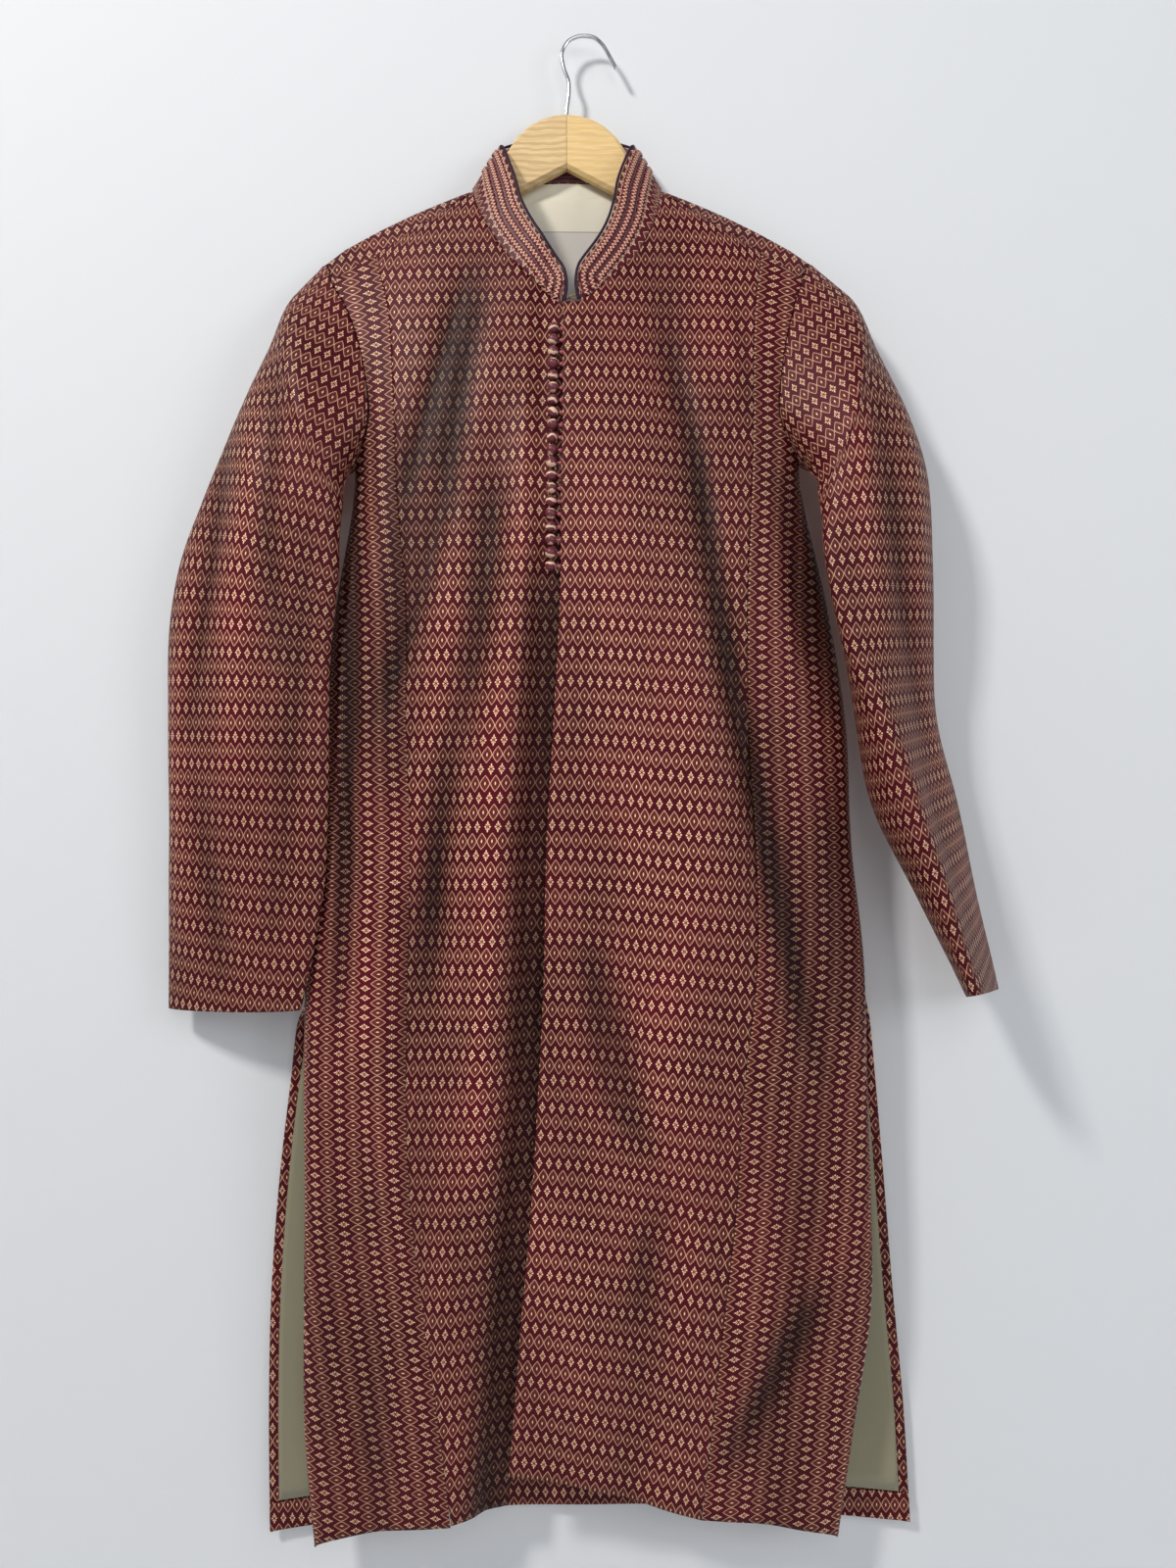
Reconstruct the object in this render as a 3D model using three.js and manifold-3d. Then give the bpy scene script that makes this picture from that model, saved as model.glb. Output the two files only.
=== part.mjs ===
// A sherwani: a long, lined brocade coat with a stand collar, hanging on a wooden hanger.
// Millimetres, +Z up, the front faces -Y, and +X is the wearer's left.
// The origin is the inside top of the hanger's hook, where a nail carries it.
// Every cloth piece is a thin wall whose outer face lies on one of two surfaces, front and back.
import * as THREE from 'three';
import Module from 'manifold-3d';

// ---- driving dimensions ----
const wallY = 16;             // the flat wall that the back of the coat hangs against
const cloth = { front: 1.6, back: 1.6, sleeve: 1.6, lining: 1.0, collar: 1.2, braid: 1.0 };
const gap = 0.35;             // between pieces that are sewn edge to edge
const lift = 0.5;             // between pieces that lie on each other
const liningLift = 1.3;       // and under the lining
const braidLift = 1.35;       // and under the braids, which lie round the collar's bends
const shoulder = { ridge: 17, neckHalf: 81, fall: 0.36, curve: 0.001, end: 213 };
const neckMid = -15.5;        // the collar's centre line at the shoulders
const neckSwing = 4;          // and how far it swings to the left at the opening
const neckZ = -135;           // height of the ridge where the collar meets it
const chestRise = { reach: 110, power: 0.6 };
const belly = { power: 0.75 };
const backFlat = 5;           // the back's outer face stands this far off the wall
const backTurn = 130;         // below the ridge, where its sides have turned forward to the side seams
const slitZ = -830;           // top of both side slits
const overlap = { recess: 6.5, from: 31, to: 15 };
const buttons = { count: 20, radius: 4.4, topZ: -274, pitch: 10.65, inFromEdge: 8.2 };
const hanger = { mid: -16, thick: 12, bevel: 3, arch: 57, topZ: -68.5, notchZ: -115.5, slope: 0.52, end: 208, under: 7.5 };
const hook = { wire: 1.75, bore: 2.1, boreEndZ: -84 };

// Widths of the body by height: the outer edges, the two princess seams, the edges of the two
// fronts at the opening, the middle, and how far the front stands off the wall.
const bodyRows = [
  { z: -200, right: -243, seamRight: -179, under: 2, edge: -18, seamLeft: 151, left: 216, mid: -15, belly: 82, side: 48 },
  { z: -250, right: -226, seamRight: -166, under: 2, edge: -18, seamLeft: 144, left: 205, mid: -13, belly: 90, side: 50 },
  { z: -300, right: -212, seamRight: -161, under: 2, edge: -18, seamLeft: 141, left: 193, mid: -10, belly: 99, side: 51 },
  { z: -350, right: -200, seamRight: -158, under: 1, edge: -18, seamLeft: 140, left: 183, mid: -8, belly: 105, side: 51 },
  { z: -400, right: -195, seamRight: -156, under: 0, edge: -19, seamLeft: 138, left: 183, mid: -6, belly: 108, side: 50 },
  { z: -500, right: -210, seamRight: -147, under: -3, edge: -20, seamLeft: 133, left: 205, mid: -3, belly: 110, side: 48 },
  { z: -600, right: -222, seamRight: -146, under: -8, edge: -25, seamLeft: 134, left: 221, mid: 0, belly: 106, side: 44 },
  { z: -700, right: -230, seamRight: -143, under: -16, edge: -31, seamLeft: 141, left: 226, mid: 0, belly: 98, side: 42 },
  { z: -800, right: -237, seamRight: -146, under: -22, edge: -33, seamLeft: 142, left: 237, mid: 0, belly: 90, side: 41 },
  { z: -900, right: -239, seamRight: -148, under: -30, edge: -38, seamLeft: 132, left: 240, mid: 0, belly: 83, side: 42 },
  { z: -1000, right: -238, seamRight: -145, under: -42, edge: -44, seamLeft: 126, left: 243, mid: 0, belly: 76, side: 44 },
  { z: -1100, right: -239, seamRight: -134, under: -57, edge: -53, seamLeft: 116, left: 243, mid: 0, belly: 69, side: 43 },
  { z: -1200, right: -239, seamRight: -121, under: -72, edge: -61, seamLeft: 106, left: 229, mid: 0, belly: 62, side: 41 },
  { z: -1300, right: -231, seamRight: -110, under: -85, edge: -70, seamLeft: 95, left: 215, mid: 0, belly: 56, side: 39 },
];

// The back's own edges below the slits, and how far they stand off the wall.
const slitRows = [
  { z: -830, right: -238, left: 239, off: 40 },
  { z: -860, right: -250, left: 248, off: 22 },
  { z: -900, right: -257, left: 254, off: 11 },
  { z: -1000, right: -269, left: 263, off: 8 },
  { z: -1100, right: -276, left: 271, off: 8 },
  { z: -1200, right: -278, left: 280, off: 8 },
  { z: -1320, right: -277, left: 287, off: 8 },
];

// Heights of the hems where each panel's edges end.
const hem = {
  right: -1303, seamRight: -1275, under: -1266, edge: -1231, seamLeft: -1270, left: -1294, backDrop: 6, backMid: -1284,
};

// The largest folds: soft troughs (depth below 0) and ridges from a top point to a bottom one.
const frontFolds = [
  { x1: -85, z1: -180, x2: -178, z2: -640, half: 20, depth: -5 },
  { x1: -66, z1: -330, x2: -140, z2: -900, half: 22, depth: -8 },
  { x1: -48, z1: -420, x2: -92, z2: -1290, half: 26, depth: 5 },
  { x1: 52, z1: -180, x2: 205, z2: -960, half: 24, depth: -9 },
  { x1: 110, z1: -420, x2: 60, z2: -1010, half: 34, depth: 5 },
  { x1: 4, z1: -740, x2: 62, z2: -1010, half: 18, depth: -5 },
  { x1: 66, z1: -980, x2: 30, z2: -1300, half: 20, depth: -4 },
  { x1: -192, z1: -880, x2: -172, z2: -1420, half: 22, depth: -6 },
  { x1: 180, z1: -900, x2: 150, z2: -1420, half: 26, depth: -5 },
];
const backFolds = [
  { x1: -90, z1: -330, x2: -150, z2: -1400, half: 30, depth: -6 },
  { x1: 60, z1: -330, x2: 150, z2: -1400, half: 32, depth: -7 },
  { x1: -10, z1: -500, x2: 5, z2: -1450, half: 34, depth: -5 },
];

// Fractions of the way from the top of a panel to its hem, one for each row of points.
const armRows = [0, 0.021, 0.049, 0.081, 0.118, 0.151];
const lowerRows = [0.192, 0.25, 0.32, 0.4, 0.48, 0.5624, 0.592, 0.64, 0.72, 0.81, 0.905, 1];
const sideColumns = [0, 0.25, 0.5, 0.75, 1];
const levels = [...armRows, ...lowerRows];
// How far out each armhole's front and back edge lies at the arm rows but the last, the underarm.
const armholes = [
  { frontRight: -217, backRight: -228, frontLeft: 187, backLeft: 200 },
  { frontRight: -204, backRight: -220, frontLeft: 179, backLeft: 195 },
  { frontRight: -192, backRight: -212, frontLeft: 171, backLeft: 189 },
  { frontRight: -184, backRight: -204, frontLeft: 165, backLeft: 183 },
  { frontRight: -181, backRight: -197, frontLeft: 163, backLeft: 179 },
];
// The shoulder seam's ends: at the neck, the princess seam and the armhole.
const shoulderSeam = {
  right: [{ x: -97, z: -139 }, { x: -179, z: -199 }, { x: -217, z: -222 }],
  left: [{ x: 66, z: -139 }, { x: 151, z: -195 }, { x: 187, z: -219 }],
};

// The neck seam, and the collar's edge before its corner is rounded, from the front to the back.
const collarRows = [
  { x: 8.5, z: -249, topX: 3.5, topZ: -226, lean: 2 },
  { x: 22.5, z: -237, topX: 12.5, topZ: -211, lean: 1 },
  { x: 38.5, z: -221, topX: 24.5, topZ: -193, lean: 1 },
  { x: 55, z: -204, topX: 33.5, topZ: -177, lean: 3 },
  { x: 70, z: -177, topX: 41, topZ: -159, lean: 8 },
  { x: 77.5, z: -156, topX: 46, topZ: -137, lean: 10 },
  { x: 81.5, z: -138.5, topX: 56, topZ: -106, off: 25, topOff: 32 },
  { x: 82.5, z: -133.6, topX: 60, topZ: -98, off: 16, topOff: 20 },
  { x: 78, z: -127.5, topX: 56, topZ: -93, off: 6, topOff: 7 },
  { x: 42, z: -123, topX: 34, topZ: -87, off: 5, topOff: 5 },
  { x: 0, z: -121, topX: 0, topZ: -84, off: 5, topOff: 5 },
];
const collar = { endRound: 13, braidAt: [6.5, 14.5, 22.5], braidWide: 5, piping: 1.2, innerRise: 2.5 };

// Sections of the sleeves: the two folded edges (x, z, distance off the wall), and how far the
// cloth between them stands out in front and behind.
const sleeveRight = [
  { x: -250, z: -231, off: 22, inX: -201, inZ: -404, inOff: 72, front: 34, back: 18 },
  { x: -275, z: -283, off: 24, inX: -202, inZ: -421, inOff: 72, front: 32, back: 17 },
  { x: -300, z: -338, off: 25, inX: -204, inZ: -446, inOff: 75, front: 28, back: 16 },
  { x: -326, z: -398, off: 25, inX: -204, inZ: -478, inOff: 75, front: 25, back: 14 },
  { x: -347, z: -450, off: 24, inX: -207, inZ: -512, inOff: 75, front: 22, back: 13 },
  { x: -358, z: -505, off: 23, inX: -210, inZ: -550, inOff: 75, front: 20, back: 12 },
  { x: -360, z: -580, off: 22, inX: -211, inZ: -605, inOff: 74, front: 20, back: 11 },
  { x: -361, z: -665, off: 21, inX: -213, inZ: -672, inOff: 72, front: 19, back: 10 },
  { x: -361, z: -755, off: 20, inX: -219, inZ: -757, inOff: 67, front: 17, back: 9 },
  { x: -362, z: -846, off: 20, inX: -238, inZ: -841, inOff: 58, front: 14, back: 8 },
];
const sleeveLeft = [
  { x: 226, z: -232, off: 24, inX: 192, inZ: -404, inOff: 84, front: 34, back: 18 },
  { x: 250, z: -282, off: 30, inX: 191, inZ: -418, inOff: 88, front: 32, back: 17 },
  { x: 272, z: -330, off: 34, inX: 192, inZ: -438, inOff: 96, front: 28, back: 16 },
  { x: 290, z: -385, off: 34, inX: 192, inZ: -464, inOff: 101, front: 24, back: 17 },
  { x: 296, z: -460, off: 30, inX: 198, inZ: -500, inOff: 106, front: 20, back: 20 },
  { x: 297, z: -540, off: 27, inX: 212, inZ: -548, inOff: 110, front: 14, back: 28 },
  { x: 300, z: -600, off: 24, inX: 231, inZ: -600, inOff: 114, front: 10, back: 38 },
  { x: 316, z: -665, off: 22, inX: 250, inZ: -662, inOff: 117, front: 8, back: 43 },
  { x: 336, z: -745, off: 18, inX: 279, inZ: -737, inOff: 119, front: 7, back: 30 },
  { x: 358, z: -831, off: 15, inX: 307, inZ: -818, inOff: 119, front: 7, back: 14 },
];

// The hook's wire from its screw in the wood, round the nail, to its tip.
const hookPath = [
  [-16, -82], [-16, -66], [-14.2, -50], [-14.4, -38], [-18.6, -26], [-20.2, -14], [-15.6, -4],
  [-8, 0.6], [0, 1.75], [8.4, 0], [15.6, -6.4], [21.6, -16.4], [27, -26.5],
];

const paint = {
  brocade: { color: 0x6b1a2c, roughness: 0.5, metalness: 0.1 },
  lining: { color: 0xc9bd97, roughness: 0.4, metalness: 0 },
  braid: { color: 0xd9b78f, roughness: 0.6, metalness: 0.1 },
  piping: { color: 0x2a1622, roughness: 0.6, metalness: 0 },
  wood: { color: 0xd9b06a, roughness: 0.5, metalness: 0 },
  steel: { color: 0xb9bcc2, roughness: 0.2, metalness: 1 },
  brass: { color: 0xc8a04a, roughness: 0.3, metalness: 1 },
};

// ---- small helpers ----
const clamp = (v, lo, hi) => Math.min(hi, Math.max(lo, v));
const lerp = (a, b, t) => a + (b - a) * t;
const smooth = (t) => { const c = clamp(t, 0, 1); return c * c * (3 - 2 * c); };

// A smooth function of height through one named column of a table sorted from the top down.
function column(rows, key, by = 'z') {
  return (z) => {
    let i = 0;
    while (i < rows.length - 2 && (rows[0][by] > rows[1][by] ? z < rows[i + 1][by] : z > rows[i + 1][by])) i++;
    const slope = (k) => {
      const a = rows[Math.max(0, k - 1)];
      const b = rows[Math.min(rows.length - 1, k + 1)];
      return (b[key] - a[key]) / (b[by] - a[by]);
    };
    const span = rows[i + 1][by] - rows[i][by];
    const t = clamp((z - rows[i][by]) / span, 0, 1);
    const [t2, t3] = [t * t, t * t * t];
    return (2 * t3 - 3 * t2 + 1) * rows[i][key] + (t3 - 2 * t2 + t) * span * slope(i)
      + (3 * t2 - 2 * t3) * rows[i + 1][key] + (t3 - t2) * span * slope(i + 1);
  };
}

const body = Object.fromEntries(
  ['right', 'seamRight', 'under', 'edge', 'seamLeft', 'left', 'mid', 'belly', 'side'].map((key) => [key, column(bodyRows, key)]));
const slit = Object.fromEntries(['right', 'left', 'off'].map((key) => [key, column(slitRows, key)]));

function foldAt(folds, x, z) {
  let sum = 0;
  for (const f of folds) {
    const t = (z - f.z1) / (f.z2 - f.z1);
    if (t <= 0 || t >= 1) continue;
    const across = (x - lerp(f.x1, f.x2, t)) / f.half;
    sum += f.depth * Math.exp(-across * across) * Math.sqrt(Math.sin(Math.PI * t));
  }
  return sum;
}

// ---- the two surfaces ----
const ridgeZ = (x) => {
  const r = Math.max(0, Math.abs(x - neckMid) - shoulder.neckHalf);
  return neckZ - shoulder.fall * r - shoulder.curve * r * r;
};
const shoulderSeamZ = (x) => {
  const [neck, princess, arm] = x < neckMid ? shoulderSeam.right : shoulderSeam.left;
  const [a, b] = Math.abs(x - neckMid) < Math.abs(princess.x - neckMid) ? [neck, princess] : [princess, arm];
  return lerp(a.z, b.z, (x - a.x) / (b.x - a.x));
};
const sideX = (side, z) => (side < 0 ? body.right(z) : body.left(z));
const angleAt = (x, z) => {
  const mid = body.mid(z);
  const half = Math.abs(sideX(x < mid ? -1 : 1, z) - mid);
  return Math.asin(clamp((x - mid) / half, -1, 1));
};

// How far the front stands off the wall at an angle round the body, and there a point.
function frontOff(angle, z) {
  const mid = body.mid(z);
  const x = mid + Math.sin(angle) * Math.abs(sideX(Math.sign(angle) || 1, z) - mid);
  const round = Math.pow(Math.max(0, Math.cos(angle)), belly.power);
  const full = lerp(body.side(z), body.belly(z), round) + foldAt(frontFolds, x, z) * round;
  const below = Math.max(0, ridgeZ(x) - z);
  const rise = 1 - Math.exp(-Math.pow(below / chestRise.reach, chestRise.power));
  return { x, off: lerp(shoulder.ridge, full, rise) };
}
const front = (angle, z) => {
  const { x, off } = frontOff(angle, z);
  return new THREE.Vector3(x, wallY - off, z);
};
const sideOff = (side, z) => frontOff(side * Math.PI / 2, z).off;

// The back hangs close to the wall, turns forward to the side seams, and lies flat below the slits.
function back(angle, z) {
  const side = Math.sign(angle) || 1;
  const mid = body.mid(z);
  const edgeX = z > slitZ ? sideX(side, z) : (side < 0 ? slit.right(z) : slit.left(z));
  const edgeOff = z > slitZ ? sideOff(side, z) : Math.min(slit.off(z), sideOff(side, slitZ));
  const x = mid + Math.sin(angle) * Math.abs(edgeX - mid);
  const round = Math.pow(Math.max(0, Math.cos(angle)), 0.5);
  const turn = smooth((ridgeZ(x) - z) / backTurn);
  const off = lerp(backFlat, lerp(edgeOff, backFlat, round), turn) - foldAt(backFolds, x, z) * round;
  return new THREE.Vector3(x, wallY - off, z);
}

function withNormal(surface, angle, z, facing) {
  const step = 0.004;
  const a = clamp(angle, -Math.PI / 2, Math.PI / 2);
  const du = surface(Math.min(a + step, Math.PI / 2), z).sub(surface(Math.max(a - step, -Math.PI / 2), z));
  const dz = surface(a, z + 1).sub(surface(a, z - 1));
  const n = du.cross(dz).normalize();
  return { p: surface(a, z), n: n.multiplyScalar(facing) };
}
const frontSample = (angle, z) => withNormal(front, angle, z, 1);
const backSample = (angle, z) => withNormal(back, angle, z, -1);
const moved = (s, along) => ({ p: s.p.clone().addScaledVector(s.n, along), n: s.n });
const between = (a, b, t) => ({ p: a.p.clone().lerp(b.p, t), n: a.n.clone().lerp(b.n, t).normalize() });

// ---- making solids ----
// A wall from a grid of samples: the outer face on the points, the inner face thick behind them.
function wall(grid, thick, { ring = false, flip = false } = {}) {
  const rows = grid.length;
  const cols = grid[0].length;
  const points = [];
  for (const layer of [0, -thick]) {
    for (const row of grid) for (const s of row) points.push(...s.p.clone().addScaledVector(s.n, layer).toArray());
  }
  const at = (layer, i, j) => layer * rows * cols + i * cols + (j % cols);
  const index = [];
  const quad = (a, b, c, d) => (flip ? index.push(a, c, b, a, d, c) : index.push(a, b, c, a, c, d));
  const across = ring ? cols : cols - 1;
  for (let i = 0; i < rows - 1; i++) {
    for (let j = 0; j < across; j++) {
      quad(at(0, i, j), at(0, i + 1, j), at(0, i + 1, j + 1), at(0, i, j + 1));
      quad(at(1, i, j), at(1, i, j + 1), at(1, i + 1, j + 1), at(1, i + 1, j));
    }
    if (!ring) {
      quad(at(0, i, 0), at(1, i, 0), at(1, i + 1, 0), at(0, i + 1, 0));
      quad(at(0, i, cols - 1), at(0, i + 1, cols - 1), at(1, i + 1, cols - 1), at(1, i, cols - 1));
    }
  }
  for (let j = 0; j < across; j++) {
    quad(at(0, 0, j), at(0, 0, j + 1), at(1, 0, j + 1), at(1, 0, j));
    quad(at(0, rows - 1, j), at(1, rows - 1, j), at(1, rows - 1, j + 1), at(0, rows - 1, j + 1));
  }
  const geometry = new THREE.BufferGeometry();
  geometry.setAttribute('position', new THREE.Float32BufferAttribute(points, 3));
  geometry.setIndex(index);
  return geometry;
}

const wasm = await Module();
wasm.setup();
function toManifold(geometry) {
  const seen = new Map();
  const vertices = [];
  const source = geometry.index ? geometry.toNonIndexed() : geometry;
  const position = source.attributes.position;
  const triangles = [];
  for (let i = 0; i < position.count; i++) {
    const xyz = [position.getX(i), position.getY(i), position.getZ(i)];
    const key = xyz.map((v) => v.toFixed(4)).join();
    if (!seen.has(key)) {
      seen.set(key, vertices.length / 3);
      vertices.push(...xyz);
    }
    triangles.push(seen.get(key));
  }
  return new wasm.Manifold(new wasm.Mesh({
    numProp: 3, vertProperties: new Float32Array(vertices), triVerts: new Uint32Array(triangles),
  }));
}
function fromManifold(solid) {
  const mesh = solid.getMesh();
  const geometry = new THREE.BufferGeometry();
  geometry.setAttribute('position', new THREE.BufferAttribute(new Float32Array(mesh.vertProperties), 3));
  geometry.setIndex([...mesh.triVerts]);
  return geometry;
}
const boxAt = (x, y, z, w, d, h) => toManifold(new THREE.BoxGeometry(w, d, h).translate(x, y, z));

const coat = new THREE.Group();
function add(name, geometry, finish) {
  const mesh = new THREE.Mesh(geometry, new THREE.MeshStandardMaterial(paint[finish]));
  mesh.name = name;
  coat.add(mesh);
}

// ---- seams between the panels ----
const sideName = (side) => (side < 0 ? 'Right' : 'Left');
const seamEnds = (side) => (side < 0 ? shoulderSeam.right : shoulderSeam.left);
const sideZ = (side, level) => lerp(seamEnds(side)[2].z, side < 0 ? hem.right : hem.left, level);
const princessX = (side) => (side < 0 ? body.seamRight : body.seamLeft);
const princessZ = (side, level) => lerp(seamEnds(side)[1].z, side < 0 ? hem.seamRight : hem.seamLeft, level);
const underarm = armRows[armRows.length - 1];

// The edge of the front or back panel at a height: the armhole, and below it the side seam.
function edgeX(side, which, z) {
  if (z < sideZ(side, underarm) + 0.01) return sideX(side, z);
  const rows = armholes.map((row, i) => ({ z: sideZ(side, armRows[i]), x: row[which + sideName(side)] }));
  rows.push({ z: sideZ(side, underarm), x: sideX(side, sideZ(side, underarm)) });
  return column(rows, 'x')(z);
}
// An angle on the front moved along the cloth, which leaves the gap of a seam.
function inset(angle, z, along) {
  const step = 0.01 * Math.sign(along);
  return angle + step * Math.abs(along) / front(angle, z).distanceTo(front(angle + step, z));
}

// ---- front panels ----
function sideFrontRow(side, level, rise) {
  const [zOut, zIn] = [sideZ(side, level), princessZ(side, level)];
  const outer = inset(angleAt(edgeX(side, 'front', zOut), zOut), zOut, -side * gap / 2);
  const inner = inset(angleAt(princessX(side)(zIn), zIn), zIn, side * gap / 2);
  return sideColumns.map((t) => frontSample(lerp(inner, outer, t), lerp(zIn, zOut, t) + rise));
}
const sideFront = (side) => wall(levels.map((level) => sideFrontRow(side, level, -gap)), cloth.front, { flip: side < 0 });
add('side_front_right', sideFront(-1), 'brocade');
add('side_front_left', sideFront(1), 'brocade');

const neckCentre = (z) => neckMid + neckSwing * smooth((-140 - z) / 60);
const neckPoint = (side, row) => ({ x: neckCentre(row.z) + side * row.x, z: row.z });

// Where the left front lies on the right one, the right front sinks under it.
const sunk = (x, z) => overlap.recess * smooth((x - body.edge(z) + overlap.from) / (overlap.from - overlap.to));

function centreFront(side) {
  const edge = side < 0 ? body.under : body.edge;
  const [neck, princess] = seamEnds(side);
  const tops = [0, 0.34, 0.68].map((t) => ({ x: lerp(princess.x, neck.x, t), z: lerp(princess.z, neck.z, t) }));
  for (const row of collarRows.slice(0, 7).reverse()) tops.push(neckPoint(side, row));
  tops.push({ x: edge(collarRows[0].z), z: collarRows[0].z });
  const grid = levels.map((level) => tops.map((top, j) => {
    const t = (top.x - princess.x) / (tops[tops.length - 1].x - princess.x);
    const end = side < 0 ? lerp(hem.seamRight, hem.under, t) : lerp(hem.edge, hem.seamLeft, Math.pow(1 - t, 1.4));
    const z = lerp(top.z, end, level) - gap;
    const atTop = top.x - lerp(princessX(side)(top.z), edge(top.z), t);
    const x = lerp(princessX(side)(z), edge(z), t) + atTop * Math.max(0, 1 - level / underarm);
    const s = frontSample(j === 0 ? inset(angleAt(x, z), z, -side * gap / 2) : angleAt(x, z), z);
    if (side < 0) s.p.y += sunk(x, z);
    return s;
  }));
  return wall(grid, cloth.front, { flip: side > 0 });
}
add('front_right', centreFront(-1), 'brocade');
add('front_left', centreFront(1), 'brocade');

// ---- the back ----
// Each shoulder column climbs from the front seam over the ridge: below the ridge, and off the wall.
const ridgePath = [{ below: 2.2, off: 23 }, { below: 0, off: 17 }, { below: 1.8, off: 10.5 }, { below: 8, off: 5.5 }];
const neckPath = [{ below: 1.2, off: 5 }, { below: 2.4, off: 5 }, { below: 4, off: 5 }, { below: 13, off: 5 }];
const armPathX = [6, 12, 12, 11.5];           // how far the armhole steps out along the ridge path
const slitLevel = lowerRows[5];

// Heights along the back's neck, straight between the collar's points.
function backNeckZ(out) {
  const rows = collarRows.slice(8);
  const i = out > rows[1].x ? 0 : 1;
  return lerp(rows[i].z, rows[i + 1].z, (out - rows[i].x) / (rows[i + 1].x - rows[i].x));
}

function backPoint(side, share, z) {
  const mid = body.mid(z);
  const reach = Math.abs((z > slitZ ? sideX(side, z) : (side < 0 ? slit.right(z) : slit.left(z))) - mid);
  const edge = Math.abs((z > slitZ ? edgeX(side, 'back', z) : mid + side * reach) - mid);
  return backSample(side * Math.asin(clamp(share * edge / reach, 0, 1)), z);
}

function backColumn(side, x, share, seamSample) {
  const atArm = share === 1;
  const out = Math.abs(x - neckMid);
  const overRidge = out >= shoulder.neckHalf;
  const ridgeX = atArm ? neckMid + side * (shoulder.end + (side < 0 ? 1 : 0)) : x;
  const crest = overRidge ? ridgeZ(ridgeX) : backNeckZ(out) - gap;
  const rows = [];
  if (overRidge) {
    rows.push(seamSample || frontSample(angleAt(x, shoulderSeamZ(x)), shoulderSeamZ(x) + gap / 2));
  } else {
    rows.push({ p: new THREE.Vector3(x, wallY - backFlat, crest), n: new THREE.Vector3(0, 1, 0) });
  }
  const path = (overRidge ? ridgePath : neckPath).map((step, k) => new THREE.Vector3(
    atArm ? x + side * armPathX[k] : x, wallY - step.off, crest - step.below));
  path.forEach((p, k) => {
    const before = k === 0 ? rows[0].p : path[k - 1];
    const after = k === 3 ? p.clone().setZ(p.z - 8) : path[k + 1];
    rows.push({ p, n: new THREE.Vector3(0, before.z - after.z, after.y - before.y).normalize() });
  });
  const top = atArm ? sideZ(side, 0) : Math.min(path[3].z - 8, lerp(crest - 20, sideZ(side, 0), share * share));
  const bottom = lerp(hem.backMid, side < 0 ? hem.right : hem.left, share * share);
  for (const level of levels) {
    const drop = level > slitLevel ? hem.backDrop * share * Math.pow((level - slitLevel) / (1 - slitLevel), 2) : 0;
    const s = backPoint(side, share, lerp(top, bottom, level) - drop);
    if (atArm) s.p.y += gap;
    rows.push(s);
  }
  return rows;
}

function backColumns(side) {
  const [neck, princess, arm] = seamEnds(side);
  const alongSeam = sideFrontRow(side, 0, gap / 2).reverse();
  const xs = [...alongSeam.map((s) => s.p.x), lerp(princess.x, neck.x, 0.34), lerp(princess.x, neck.x, 0.68), neck.x,
    neckMid + side * 78, neckMid + side * 42];
  return xs.map((x, i) => backColumn(side, x, i === 0 ? 1 : (x - neckMid) / (arm.x - neckMid), alongSeam[i]));
}
const backGridColumns = [...backColumns(-1), backColumn(1, neckMid, 0), ...backColumns(1).reverse()];
const backGrid = backGridColumns[0].map((_, i) => backGridColumns.map((samples) => samples[i]));
add('back', wall(backGrid, cloth.back, { flip: true }), 'brocade');

// The lining and the turned-up hem lie on the back's facets, inside it.
const alongRows = (row, lower, t) => row.map((s, j) => between(s, lower[j], t));
const inward = (row, along) => row.map((s) => moved(s, -along));
const rowsDown = backGrid.length;
const hemTurn = { top: 0.765, liningEnd: 0.745 };
const skipped = [18, 20];
const liningRows = [...backGrid.slice(3, rowsDown - 1).filter((_, i) => !skipped.includes(i + 3)),
  alongRows(backGrid[rowsDown - 2], backGrid[rowsDown - 1], hemTurn.liningEnd)];
const sideIn = 0.22;
const trimmed = liningRows.map((row, i) => {
  const last = row.length - 1;
  const tuck = (a, b) => moved(between(a, b, sideIn), i > 1 ? -lift : 0);
  return [tuck(row[0], row[1]), ...row.slice(1, last), tuck(row[last], row[last - 1])];
});
add('back_lining', wall(trimmed.map((row) => inward(row, cloth.back + liningLift)), cloth.lining, { flip: true }), 'lining');
const facingRows = [hemTurn.top, 1].map((t) => alongRows(backGrid[rowsDown - 2], backGrid[rowsDown - 1], t));
add('back_hem_facing', wall(facingRows.map((row) => inward(row, cloth.back + gap)), cloth.lining, { flip: true }), 'brocade');

// ---- the sleeves ----
// Each starts round its armhole: the ridge, down the front edge to the underarm, and up the back.
function armLoop(side) {
  const frontEdge = armRows.map((level) => sideFrontRow(side, level, -gap)[sideColumns.length - 1]);
  const column = side < 0 ? 0 : backGrid[0].length - 1;
  const backEdge = [4, 3, 2, 1, 0].map((i) => backGrid[5 + i][column]);
  const over = [1, 2, 3, 4].map((i) => backGrid[i][column]);
  return [over[1], over[0], ...frontEdge, ...backEdge, over[3], over[2]];
}
const sleeveGap = 0.7;
const ridgeColumns = [0, 1, 2, 12, 13, 14];
const capAngles = [0, 10, 25, 50, 80, 110, 145, 180, 215, 245, 275, 300, 325, 340, 350];
const evenAngles = capAngles.map((_, j) => (j <= 7 ? (j * 180) / 7 : 180 + ((j - 7) * 180) / 8));

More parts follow.
